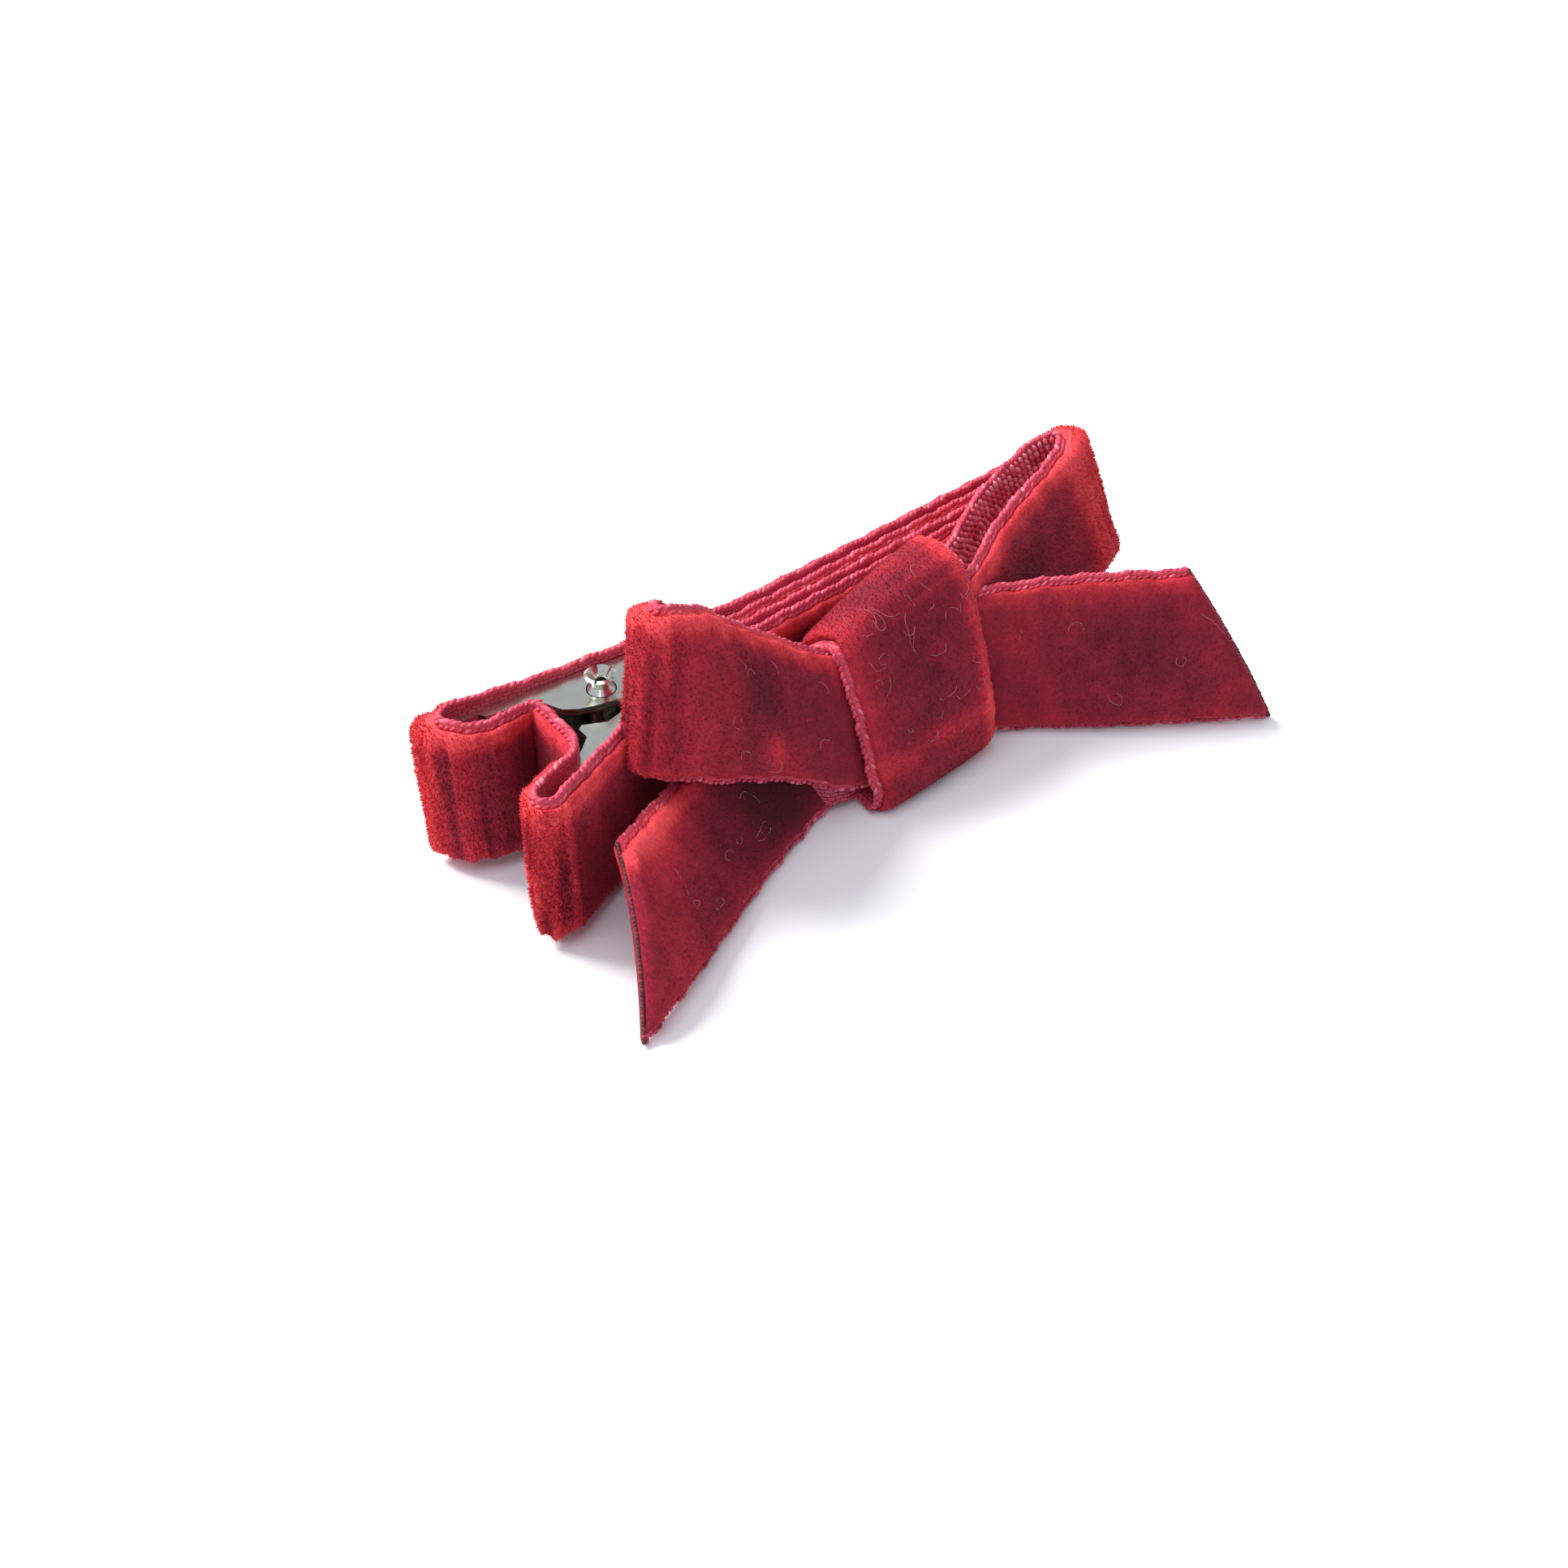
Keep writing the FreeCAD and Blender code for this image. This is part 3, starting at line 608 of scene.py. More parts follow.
def ribbon_tufts(name, ribbon, swept, seed):
    """The tufts that stand on one strip's pile."""
    points, lay, comb, _, bend = [part[:, PILE_FROM:PILE_TO] for part in swept]
    rows, columns = points.shape[:2]
    faces = [(i * columns + k, i * columns + k + 1, (i + 1) * columns + k + 1, (i + 1) * columns + k)
             for i in range(rows - 1) for k in range(columns - 1)]
    made = mesh_object(name + "_bed", points, faces, [pile])
    middle = made.data.polygons[(rows // 2) * (columns - 1) + columns // 2]
    if middle.normal.dot(Vector(ribbon.out[rows // 2])) < 0:
        made.data.flip_normals()
    tall = np.repeat(np.interp(np.linspace(0, 1, rows), np.linspace(0, 1, len(ribbon.tall)), ribbon.tall),
                     columns).reshape(rows, columns)
    write_values(made.data, lay=lay, comb=comb,
                 reach=np.clip(tall / PILE, 0.15, 1.2) * (0.7 + 0.35 * bend),
                 crowd=np.clip(tall / PILE, 0, 1) * (0.8 + 0.9 * bend))
    return grown(name, made, tuft_tree, {
        "Per Square Metre": TUFTS_PER_MM2 * 1e6, "Tuft Height": TUFT_HEIGHT * MM,
        "Tuft Width": TUFT_WIDTH * MM, "Stray": 0.28, "Seed": seed, "Finish": pile})

# %% [markdown]
# Step 9, the selvedges. Along each edge the weft turns back round the last warp threads, which
# gives a fine rope of slanted loops, one every 0.4 mm. They are beads set along the edge by
# Geometry Nodes, each a low-sided ball stretched and turned to the rope's slant.

# %% Selvedge tree
def make_loop_tree():
    given, result, add = new_tree("selvedge_loops", "Spacing", "Long", "Thick", "Slant", "Palest",
                                  Seed="Int", Finish="Material")
    hub, turn_kept = [add("GeometryNodeInputNamedAttribute", {"data_type": kind}, Name=name)
                      for name, kind in (("hub", "FLOAT_VECTOR"), ("turn", "QUATERNION"))]
    slant_chance, size_chance, tone_chance = [
        add("FunctionNodeRandomValue", {"data_type": "FLOAT"}, in_2=low, in_3=high, Seed=seed).outputs[1]
        for low, high, seed in ((-0.18, 0.18, 4), (0.85, 1.15, 6), (-0.85, 0.0, 8))]
    line = add("GeometryNodeMeshToCurve", Mesh=given.outputs["Geometry"])
    even = add("GeometryNodeResampleCurve", {"mode": "LENGTH"}, Curve=line, Length=given.outputs["Spacing"])
    ahead = add("GeometryNodeInputTangent")
    first = add("FunctionNodeAlignRotationToVector", {"axis": "X"}, Vector=ahead)
    second = add("FunctionNodeAlignRotationToVector", {"axis": "Z", "pivot_axis": "X"},
                 Rotation=first, Vector=hub)
    wobble = add("ShaderNodeMath", in_0=given.outputs["Slant"], in_1=slant_chance)
    tilt = add("ShaderNodeCombineXYZ", Z=wobble)
    third = add("FunctionNodeRotateRotation", {"rotation_space": "LOCAL"}, Rotation=second, in_1=tilt)
    turn = add("GeometryNodeStoreNamedAttribute", {"data_type": "QUATERNION", "domain": "POINT"},
               Geometry=even, Name="turn", Value=third)
    points = add("GeometryNodeCurveToPoints", {"mode": "EVALUATED"}, Curve=turn)
    shade = add("ShaderNodeMath", in_0=given.outputs["Palest"], in_1=tone_chance)
    tone = add("GeometryNodeStoreNamedAttribute", {"data_type": "FLOAT", "domain": "POINT"},
               Geometry=points, Name="tone", Value=shade)
    ball = add("GeometryNodeMeshUVSphere", Segments=6, Rings=4, Radius=0.5)
    size = add("ShaderNodeCombineXYZ", X=given.outputs["Long"], Y=given.outputs["Thick"],
               Z=given.outputs["Thick"])
    scale = add("ShaderNodeVectorMath", {"operation": "SCALE"}, in_0=size, Scale=size_chance)
    placed = add("GeometryNodeInstanceOnPoints", Points=tone,
                 Instance=ball.outputs["Mesh"], Rotation=turn_kept, Scale=scale)
    return end_tree(add, placed, given, result, smooth=True)


loop_tree = make_loop_tree()
CUT_GAP = 0.3  # the edge threads stop this far before a cut, mm


def edge_lines(ribbon, cut, seed):
    """The lines that a strip's edge threads follow, and what each thread turns about."""
    lines = []
    for share, inset, lift, hub in ((0, 0.02, 0.08, "side"), (0, 0.42, 0.18, "out"),
                                    (1, 0.10, 0.0, "side"), (1, 0.42, 0.18, "out")):
        run = ribbon.run * (1 - (cut * share + (CUT_GAP if cut else 0.0)) / ribbon.length)
        low, high, out = ribbon.at(run)[:3]
        side = unit(high - low)
        start = high - side * inset if share else low + side * inset
        start = start + side * (edge_wave(run, seed) * (1 if share else -1))[:, None] + out * lift
        start[:, 2] = np.maximum(start[:, 2], TABLE_THREAD)
        lines.append((start, side if hub == "side" else out))
    return lines


def threads(name, lines, seed, spacing=0.40, long=0.70, thick=0.29, slant=0.5, palest=1.0, finish=None):
    """Thread loops along lines, as one plain mesh. Sizes are in millimetres."""
    points = np.concatenate([line for line, _ in lines])
    hubs = np.concatenate([np.broadcast_to(hub, line.shape) for line, hub in lines])
    edges, first = [], 0
    for line, _ in lines:
        edges += [(first + k, first + k + 1) for k in range(len(line) - 1)]
        first += len(line)
    made = line_object(name, points, edges)
    write_values(made.data, hub=hubs)
    return grown(name, made, loop_tree, {
        "Spacing": spacing * MM, "Long": long * MM, "Thick": thick * MM, "Slant": slant,
        "Palest": palest, "Seed": seed, "Finish": finish or thread})

# %% [markdown]
# Step 10, laying one strip. Each stretch of ribbon is three pieces that go together: the woven
# skin, the tufts on it and the threads along its edges. All of them are cut from the same 10 mm
# ribbon. The bow's skins are drawn between edges placed one by one, so their own width differs from that,
# as Step 12 says.

# %% Lay a strip
RIBBON_WIDTH = 10.0  # width of the ribbon, mm
tally = []


def lay_strip(name, ribbon, stands_for, held, rests_on, ride="front", bend_between=None, cut=0.0, marks=(),
              seed=1, base=0.3, rim=0.35, floats=None):
    """Make a strip's three pieces, attach them to the body they ride with or keep them in place when
    bend_between is given, and hide the frame's parts they stand for.
    """
    swept = skin(ribbon, cut, marks, seed, base, rim)
    cloth = ribbon_skin(name, ribbon, swept)
    tufts = ribbon_tufts(name + "_pile", ribbon, swept, seed)
    edges = threads(name + "_edges", edge_lines(ribbon, cut, seed), seed)
    extra = [tufts, edges]
    if floats:
        # The floats get paler tones than the same thread at the edges, painted light on the loop's shaded
        # inside.
        extra.append(threads(name + "_floats", floats, seed, spacing=0.44, long=0.66, thick=0.36,
                             slant=1.45, palest=1.4))
    for piece in [cloth] + extra:
        if bend_between:
            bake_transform(piece)
        else:
            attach(piece, ride)
    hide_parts(*stands_for)
    count = sum(len(p.data.polygons) for p in [cloth] + extra)
    tally.append(count)
    print(name, "length", round(ribbon.length, 1), "mm, faces", count)
    return cloth

# %% [markdown]
# Step 11, the ribbon round the clip. It is one piece on the real clip: glued inside the back jaw,
# over the nose, down the outside to the thumb end, round it, across the V between the two thumb
# ends, round the other thumb end, and along the front lever back into the jaws. It is laid
# once as a single path and then parted where it starts and stops crossing the hinge, so that
# the crossing stays where it is, held by neither lever, while the rest rides on its lever.

# %% The path round both levers
BACK_PATH = [
    (9.0, 0.22, 0.3), (16.0, 0.22, 0.3), (22.0, 0.22, 0.3), (28.0, 0.22, 0.3), (33.4, 0.22, 0.3),
    (34.9, 0.20, 0.4), (35.55, 0.04, 0.7), (35.75, -0.22, 1), (35.55, -0.50, 1), (34.9, -0.64, 1),
    (30.0, -0.66, 1), (22.0, -0.62, 1), (15.0, -0.66, 1), (11.5, -0.68, 1), (9.1, -0.88, 1),
    (2.6, -1.88, 1), (-2.3, -2.58, 1), (-6.6, -3.22, 1), (-7.8, -3.40, 1.2), (-8.4, -3.26, 1.8),
    (-8.65, -2.85, 2.1),
    (-8.5, -2.2, 1.8), (-8.2, -1.65, 1.3), (-7.7, -1.2, 1), (-7.0, -0.9, 1),
]
WEB_PATH = [
    (-5.9, -0.8, 1), (-4.8, -0.95, 0.8), (-4.1, -0.9, 0.6), (-3.8, -0.4, 0.6), (-3.75, 0.5, 0.8),
    (-3.8, 1.5, 0.9), (-3.9, 2.5, 0.8), (-4.15, 3.3, 0.6), (-4.7, 3.95, 0.6), (-5.6, 4.35, 0.9),
    (-6.5, 4.6, 1), (-7.4, 4.92, 1),
]
FRONT_PATH = [
    (-8.1, 5.3, 1.1), (-8.45, 5.8, 1.2), (-8.3, 6.3, 1.2), (-7.7, 6.45, 1.1), (-6.9, 6.2, 1),
    (-4.8, 5.3, 1), (-1.7, 3.98, 1), (1.5, 2.58, 1), (3.2, 2.0, 1), (6.0, 1.92, 1), (12.0, 1.90, 1),
    (20.0, 1.92, 1), (28.0, 1.92, 1), (34.9, 1.92, 1), (35.55, 1.78, 1), (35.78, 1.5, 0.9),
    (35.55, 1.22, 0.6), (34.9, 1.08, 0.4), (28.0, 1.08, 0.3), (20.0, 1.08, 0.3), (9.0, 1.08, 0.3),
]
LOW, HIGH = 0.16, 10.12
BACK_THUMB = 20  # the outermost station of each thumb end
FRONT_THUMB = len(BACK_PATH) + len(WEB_PATH) + 1
OVERLAP = 0.12   # the back strip runs on this far under the web, mm


def handle_rise(along):
    """The ribbon sits a little higher at the handles than along the jaw."""
    return 0.42 * min(max((-along - 2.0) / 5.0, 0.0), 1.0)


clip_ribbon = Ribbon([((a, f, LOW + handle_rise(a)), (a, f, HIGH + 0.8 * handle_rise(a)), tall)
                      for a, f, tall in BACK_PATH + WEB_PATH + FRONT_PATH])
leaves_back = clip_ribbon.station_run[len(BACK_PATH) - 1]
joins_front = clip_ribbon.station_run[len(BACK_PATH) + len(WEB_PATH) - 1]
thumb_back = clip_ribbon.station_run[BACK_THUMB]
thumb_front = clip_ribbon.station_run[FRONT_THUMB]
# Patches of painted highlight and painted shade on the clip's ribbon, as in a strip's marks.
CLIP_PAINTED_LIGHT = [
    (thumb_back + 4.0, 0.45, 1.5, 0.35, -0.10), (thumb_front + 3.4, 0.75, 1.8, 0.3, 0.16),
    (thumb_back, 0.5, 1.0, 1.0, 0.24), (thumb_front, 0.5, 1.2, 1.0, 0.22),
    (thumb_front + 5.0, 0.35, 2.5, 0.4, 0.06),
]
print("ribbon round the clip", round(clip_ribbon.length, 1), "mm; crosses from", round(leaves_back, 1),
      "to", round(joins_front, 1))

# %% Its three stretches
common = dict(marks=CLIP_PAINTED_LIGHT, seed=3, base=0.30)
lay_strip("back_strip", clip_ribbon.part(0, leaves_back + OVERLAP),
          ["back_cover_ribbon", "back_jaw_lining", "back_handle_lining"], "folded", ["back_lever"],
          ride="back", **common)
web_start, web_end = clip_point(-3.8, -0.4, 5), clip_point(-3.8, 3.2, 5)
lay_strip("hinge_web", clip_ribbon.part(leaves_back, joins_front), ["hinge_web_ribbon"], "folded",
          ["back_lever", "front_lever"], bend_between=(tuple(web_start), tuple(web_end)), **common)
lay_strip("front_strip", clip_ribbon.part(joins_front, clip_ribbon.length),
          ["front_cover_ribbon", "front_jaw_lining", "front_handle_lining"], "folded", ["front_lever"],
          **common)

# %% [markdown]
# Step 12, the bow. It is tied from the same ribbon. Each loop is a strip that leaves the
# knot, folds at its end and comes back behind itself, with its pile outside. The two
# cut ends come from under the knot: the left one is cut to a long point and lies out on
# the table, the right one is cut on the slant. Both edges were placed one by one, to give the bow
# its outline, and nothing here holds them 10 mm apart as a real ribbon's are. Between its edge
# points the left tail is only 8.0 to 8.8 mm wide, the loops are 8.2 to 10.2 mm, the right tail
# 9.5 to 10.3 mm and the knot 10.0 to 10.5 mm. A truer bow would hold the width and let the
# strips come nearer or go further back instead.

# %% Bow loops
left_loop = Ribbon([
    ((16.5, 8.7, 1.9), (16.5, 5.9, 9.6), 0.4, 0.2), ((11.5, 9.1, 1.4), (11.5, 5.8, 9.9), 0.6, 0.4),
    ((7.4, 7.9, 3.5), (8.2, 4.9, 12.0), 1, 0.8), ((4.6, 7.4, 4.9), (5.6, 4.4, 14.0), 1, 1.0),
    ((2.2, 7.1, 6.0), (3.8, 4.3, 15.7), 1, 1.0), ((0.1, 6.7, 7.2), (2.2, 4.7, 16.7), 1.1, 0.8),
    ((-1.0, 6.1, 7.6), (1.3, 4.6, 17.1), 1.6, 0.3), ((-1.3, 5.4, 7.5), (1.0, 4.2, 17.1), 1.8, 0),
    ((-0.9, 4.8, 7.2), (1.3, 3.7, 16.9), 1.7, 0), ((0.6, 5.4, 6.2), (2.3, 3.7, 16.0), 0.9, 0),
    ((3.0, 6.2, 4.5), (3.6, 3.6, 14.2), 0.8, 0), ((6.6, 6.9, 2.3), (6.4, 3.9, 11.8), 0.7, 0),
    ((10.6, 8.8, 0.6), (10.0, 4.9, 9.8), 0.5, 0), ((16.0, 7.6, 0.7), (16.0, 4.7, 9.0), 0.3, 0),
], pile_side=-1, openness=0.45)
left_fold = left_loop.station_run[7]  # the station where it turns back
# Its marks paint highlight and shade onto the pile.
lay_strip("left_loop", left_loop, ["bow_left_loop"], "folded", ["front_strip", "left_tail"],
          marks=[(12.2, 0.60, 1.6, 0.30, -0.28), (11.5, 0.22, 0.8, 0.14, 0.42),
                 (6.8, 0.40, 1.6, 0.4, -0.14), (left_fold - 2.5, 0.5, 2.5, 0.8, 0.10)],
          seed=5, base=0.42)
right_loop = Ribbon([
    ((17.0, 8.6, 1.8), (17.0, 6.4, 10.2), 0.4, 0.2), ((21.6, 8.9, 2.0), (21.8, 7.0, 11.1), 0.6, 0.2),
    ((25.0, 8.2, 2.8), (24.6, 6.1, 12.3), 1, 0.2), ((29.0, 7.5, 3.8), (27.9, 5.1, 12.9), 1, 0.2),
    ((33.5, 7.0, 4.5), (31.2, 4.2, 13.2), 1, 0.2), ((35.8, 6.5, 4.8), (33.2, 3.5, 13.6), 1.7, 0.1),
    ((36.7, 5.6, 4.9), (34.0, 2.8, 13.8), 2.2, 0), ((35.7, 4.7, 4.9), (33.2, 2.2, 13.7), 1.6, 0),
    ((31.0, 4.9, 4.2), (30.0, 2.2, 12.9), 0.8, 0), ((27.0, 5.2, 3.0), (26.5, 2.9, 12.1), 0.7, 0),
    ((23.0, 5.6, 2.0), (23.2, 4.0, 10.8), 0.6, 0), ((17.5, 6.2, 1.4), (17.5, 4.6, 9.8), 0.3, 0),
], openness=0.7)
right_fold = right_loop.station_run[6]


def float_lines(ribbon, start, end, insets):
    """Lines along the woven back of a strip, near its upper edge, for its long thread floats."""
    run = np.linspace(start, end, 40)
    low, high, out = ribbon.at(run)[:3]
    side = unit(high - low)
    return [(high - side * inset - out * (BACKING / 2), out) for inset in insets]


ladder = float_lines(right_loop, right_fold + 0.6, right_loop.length - 2.0, np.arange(0.5, 5.2, 0.42))
# Its marks paint highlight and shade onto the pile.
lay_strip("right_loop", right_loop, ["bow_right_loop"], "folded", ["front_strip"],
          marks=[(9.0, 0.35, 4.0, 0.4, -0.08), (right_fold - 1.6, 0.5, 1.5, 1.0, 0.44)],
          seed=7, base=0.40, rim=0.30, floats=ladder)

# %% Bow tails
LEFT_CUT, RIGHT_CUT = 5.7, 5.7  # how much shorter the upper edge is than the lower, mm
left_tail = Ribbon([
    ((14.0, 8.4, 0.9), (13.2, 4.4, 8.2), 0.3), ((10.1, 8.2, 0.3), (8.6, 4.3, 7.6), 0.6),
    ((6.0, 9.3, 0.25), (4.0, 4.6, 6.6), 0.9), ((2.0, 10.7, 0.25), (0.1, 5.9, 6.4), 1),
    ((-2.0, 12.3, 0.2), (-3.7, 7.6, 7.0), 1, 0.3), ((-5.5, 13.7, 0.2), (-7.1, 9.4, 7.7), 1, 0.4),
    ((-9.5, 15.2, 0.2), (-11.1, 11.0, 7.8), 0.9, 0.4),
], pile_side=-1)
# Its marks paint highlight and shade onto the pile.
lay_strip("left_tail", left_tail, ["bow_left_tail"], "laid", ["front_strip"], cut=LEFT_CUT,
          marks=[(8.0, 0.55, 3.8, 0.6, -0.46), (17.0, 0.85, 3.2, 0.22, 0.22),
                 (15.0, 0.35, 3.5, 0.25, -0.06), (18.4, 0.72, 1.5, 0.35, 0.14),
                 (21.2, 0.30, 1.6, 0.35, 0.16)],
          seed=9, base=0.40, rim=0.30)
right_tail = Ribbon([
    ((17.0, 8.4, 0.9), (17.0, 6.6, 10.2), 0.3), ((22.7, 10.0, 0.3), (22.0, 7.7, 10.1), 0.7),
    ((27.4, 13.5, 0.15), (27.6, 10.6, 10.0), 1, 0.3), ((32.0, 17.0, 0.15), (33.1, 14.2, 9.8), 1, 0.4),
    ((36.6, 20.3, 0.15), (38.6, 17.8, 9.5), 0.9, 0.3),
])
# Its marks paint highlight and shade onto the pile.
lay_strip("right_tail", right_tail, ["bow_right_tail"], "laid", ["front_strip"],
          cut=RIGHT_CUT, marks=[(14.5, 0.55, 4.5, 0.40, -0.14), (8.0, 0.4, 1.6, 0.4, 0.06)],
          seed=11, base=0.42, rim=0.14)

# %% The knot
KNOT_LEFT, KNOT_RIGHT = 11.5, 21.5
knot_left_side = [(3.35, 4.0), (3.4, 6.4), (3.9, 8.0), (4.8, 9.0), (5.8, 9.75), (6.5, 9.9), (7.5, 8.3),
                  (8.5, 6.3), (9.2, 4.5), (9.8, 2.8), (10.4, 1.5), (10.2, 0.6), (9.1, 0.5), (6.0, 0.7),
                  (4.0, 0.9), (3.4, 1.6)]
knot_right_side = [(3.35, 5.0), (3.35, 9.6), (3.6, 11.2), (4.4, 12.0), (5.4, 12.2), (6.5, 11.8),
                   (7.6, 10.5), (8.9, 7.7), (9.5, 5.8), (10.1, 3.8), (10.4, 1.9), (10.1, 0.75),
                   (8.9, 0.6), (6.0, 0.8), (4.0, 0.9), (3.4, 1.6)]
knot_pile = [0.2, 0.2, 0.7, 1, 1, 1, 1, 1, 1, 1, 0.9, 0.7, 0.5, 0.4, 0.3, 0.2]
knot = Ribbon([((KNOT_LEFT, *left), (KNOT_RIGHT, *right), tall, 0.3 * tall)
               for left, right, tall in zip(knot_left_side, knot_right_side, knot_pile)],
              closed=True, openness=0.3)
# Its marks paint highlight and shade onto the pile.
lay_strip("knot", knot, ["knot_band"], "folded", ["left_loop", "right_loop"],
          marks=[(14.5, 0.55, 2.6, 0.4, -0.05), (9.5, 0.5, 3.0, 0.6, -0.05), (16.7, 0.5, 0.9, 1.0, 0.22),
                 (12.0, 0.08, 6.0, 0.14, 0.15)], seed=13, base=0.38)

# %% [markdown]
# Step 13, small things that make it real. Cut nylon ribbon is sealed with heat, which leaves a
# thin hard dark bead along the cut. And velvet catches lint: short curly hairs lie on the knot,
# the left loop and both tails. Both are Geometry Nodes along drawn lines.

# %% Sealed cuts
def plain_material(name, code, other, roughness, metallic=0.0, mottles_per_mm=3.0, bump=0.3):
    """A material mottled between two colours, with a slight bump of the same grain."""
    material, shader, add = new_material(name)
    place = add("ShaderNodeTexCoord").outputs["Object"]
    mottle = add("ShaderNodeTexNoise", Vector=place, Scale=mottles_per_mm / MM, Detail=2.0)
    tint = add("ShaderNodeValToRGB", Fac=mottle)
    fill_ramp(tint, [(0.3, code), (0.7, other)])
    finish_shader(shader, tint, mottle, bump, 0.05, Roughness=roughness, Metallic=metallic)
    return material


fused = plain_material("heat_sealed_nylon", "#3E0C16", "#74202B", 0.6)
lint = plain_material("cotton_lint", "#B9777C", "#D6A9AB", 0.7)


def sealed_cut(name, ribbon, cut, seed):
    """A dark bead along the slanted cut of a tail."""
    share = np.linspace(0.0, 1.0, 12)
    run = ribbon.length - cut * share
    low, high, out, _, _, crown = ribbon.at(run)
    line = low + (high - low) * (share * 0.98 + 0.01)[:, None]
    line = line + out * (0.12 + bulge(crown, share))[:, None]
    line[:, 2] = np.maximum(line[:, 2], TABLE_THREAD)
    bead = threads(name, [(line, out)], seed, spacing=0.22, long=0.36, thick=0.30, slant=0.2, finish=fused)
    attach(bead, "front")


sealed_cut("left_tail_seal", left_tail, LEFT_CUT, 21)
sealed_cut("right_tail_seal", right_tail, RIGHT_CUT, 22)

# %% Lint hairs
def make_hair_tree():
    given, result, add = new_tree("lint_hairs", "Thickness", Finish="Material")
    line = add("GeometryNodeMeshToCurve", Mesh=given.outputs["Geometry"])
    half = add("ShaderNodeMath", {"operation": "MULTIPLY"}, in_0=given.outputs["Thickness"], in_1=0.5)
    ring = add("GeometryNodeCurvePrimitiveCircle", {"mode": "RADIUS"}, Resolution=3, Radius=half)
    tube = add("GeometryNodeCurveToMesh", Curve=line, Profile_Curve=ring, Fill_Caps=True)
    return end_tree(add, tube, given, result)


hair_tree = make_hair_tree()
HAIR_THICKNESS = 0.017  # mm
HAIR_POINTS = 11


def hairs(name, ribbon, count, runs, shares, seed):
    """Curly hairs lying on a strip's pile, between two places along it and across it."""
    chance = np.random.RandomState(seed)
    points, edges = [], []
    for _ in range(count):
        run, share = chance.uniform(*runs), chance.uniform(*shares)
        heading, curl = chance.uniform(0, 6.28), chance.uniform(-1.6, 1.6)
        step = chance.uniform(0.07, 0.24)
        first = len(points)
        for k in range(HAIR_POINTS):
            low, high, out, tall, _, crown = (part[0] for part in ribbon.at(np.array([run])))
            lifted = (tall + BACKING / 2 + bulge(crown, share) + 0.08 + 0.10 * math.sin(k * 0.7 + heading))
            points.append(low + (high - low) * share + out * lifted)
            heading += curl * 0.35 + chance.uniform(-0.35, 0.35)
            run = run + step * math.cos(heading)
            share = min(max(share + step * math.sin(heading) / RIBBON_WIDTH, 0.08), 0.92)
        edges += [(first + k, first + k + 1) for k in range(HAIR_POINTS - 1)]
    piece = grown(name, line_object(name, points, edges), hair_tree,
                  {"Thickness": HAIR_THICKNESS * MM, "Finish": lint})
    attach(piece, "front")
    print(name, count, "hairs")


hairs("knot_lint", knot, 28, (7.0, 17.0), (0.12, 0.9), 31)
hairs("left_loop_lint", left_loop, 8, (5.5, 16.0), (0.15, 0.85), 32)
hairs("left_tail_lint", left_tail, 10, (6.0, 20.0), (0.15, 0.8), 33)
hairs("right_tail_lint", right_tail, 5, (7.0, 20.0), (0.15, 0.8), 34)

# %% [markdown]
# Step 14, the metal and the glue. The levers are stamped from thin steel and plated with bright
# nickel, which is a slightly warm, almost greenish grey mirror with faint rolling marks.
# The spring is drawn wire, darker and duller. The glue is a dab of cloudy hot-melt.

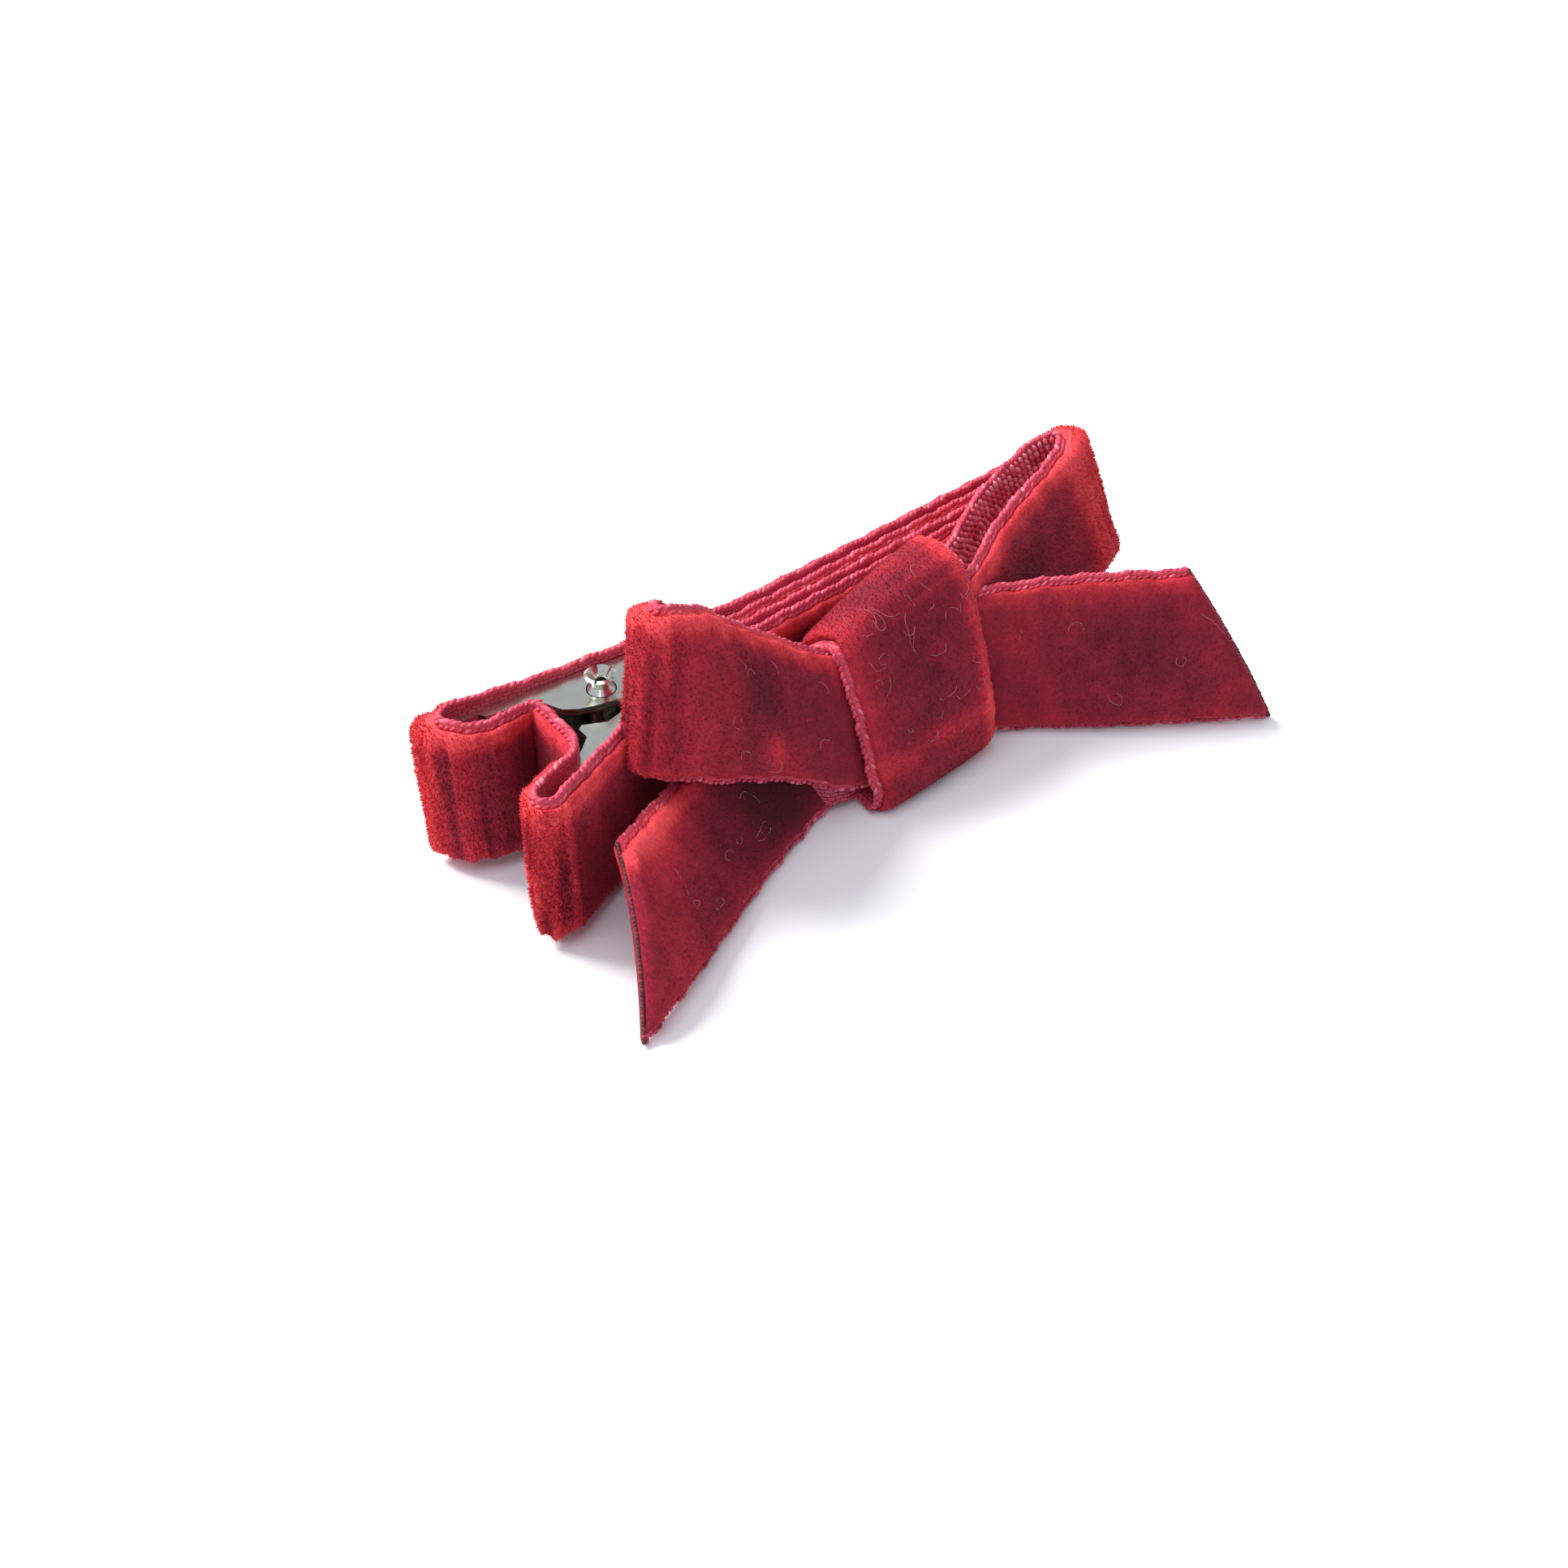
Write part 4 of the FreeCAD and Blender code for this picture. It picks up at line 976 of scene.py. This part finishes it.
# %% Nickel, wire and glue
nickel = plain_material("bright_nickel_plate", "#D6D9CF", "#E0E2D9", 0.22, metallic=1.0,
                        mottles_per_mm=0.7, bump=0.08)
wire = plain_material("drawn_spring_wire", "#7E8082", "#9A9C9C", 0.32, metallic=1.0,
                      mottles_per_mm=2.5, bump=0.1)
glue = plain_material("hot_melt_glue", "#D9CDB4", "#E8DFCB", 0.4, mottles_per_mm=0.9)
FINISHES = {"back_lever": nickel, "front_lever": nickel, "hinge_pin": nickel, "bow_glue": glue}
for node, finish in FINISHES.items():
    for place in frame["nodes"][node].material_slots:
        place.material = finish
print("finished nodes:", ", ".join(FINISHES))

# %% [markdown]
# Step 15, the spring. Its coil sits round the pin and each of its legs pushes on one lever, so it winds
# up as the clip opens. The frame's spring is stiff, so a copy of its mesh takes its place. The copy's
# loose triangles are merged and it gets the wire finish. It stays where it is and is attached to neither
# lever.

# %% The spring
stiff_spring = frame["nodes"]["torsion_spring"]
spring_mesh = stiff_spring.data.copy()
spring_mesh.transform(stiff_spring.matrix_world)
spring_mesh.materials.clear()
spring_mesh.materials.append(wire)
outward(spring_mesh, merge=0.001)
spring = in_scene("spring", spring_mesh)
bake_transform(spring)
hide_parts("torsion_spring")
print("spring", len(spring_mesh.polygons), "faces")

# %% [markdown]
# Step 16, the setting: a plain white table, and light as from a wide window behind, above and
# to the left, with a pale room all round. The shadows fall softly towards the viewer.

# %% Table and light
scene.view_settings.view_transform = "Standard"
TABLE_HALF, TABLE_DROP = 900, 0.01  # half the table's width and how far it lies below the clip, mm
paper, paper_shader, _ = new_material("matt_white_card")
feed(paper_shader, Base_Color=colour("#F4F5F8"), Roughness=0.9, Specular_IOR_Level=0.1)
corners = [(x * TABLE_HALF, y * TABLE_HALF, -TABLE_DROP) for x, y in ((-1, -1), (1, -1), (1, 1), (-1, 1))]
table_top = mesh_object("table", corners, [(0, 1, 2, 3)], [paper])


def soft_box(name, place, size, power, tint):
    """A square light aimed at the clip. Places and sizes are in millimetres."""
    light = bpy.data.lights.new(name, "AREA")
    light.size = size * MM
    light.energy = power
    light.color = colour(tint)[:3]
    lamp = in_scene(name, light)
    lamp.location = Vector(place) * MM
    lamp.rotation_euler = (-lamp.location).to_track_quat("-Z", "Y").to_euler()


soft_box("window", (-150, 350, 415), 230, 5.2, "#FFFDF8")
soft_box("ceiling", (-160, -20, 480), 420, 1.0, "#F6F8FF")
world = bpy.data.worlds.new("pale_room")
scene.world = world
world.use_nodes = True
feed(world.node_tree.nodes["Background"], Color=colour("#F1F4FF"), Strength=0.52)

# %% [markdown] Step 17, the face count.


print("faces in all strips:", sum(tally))
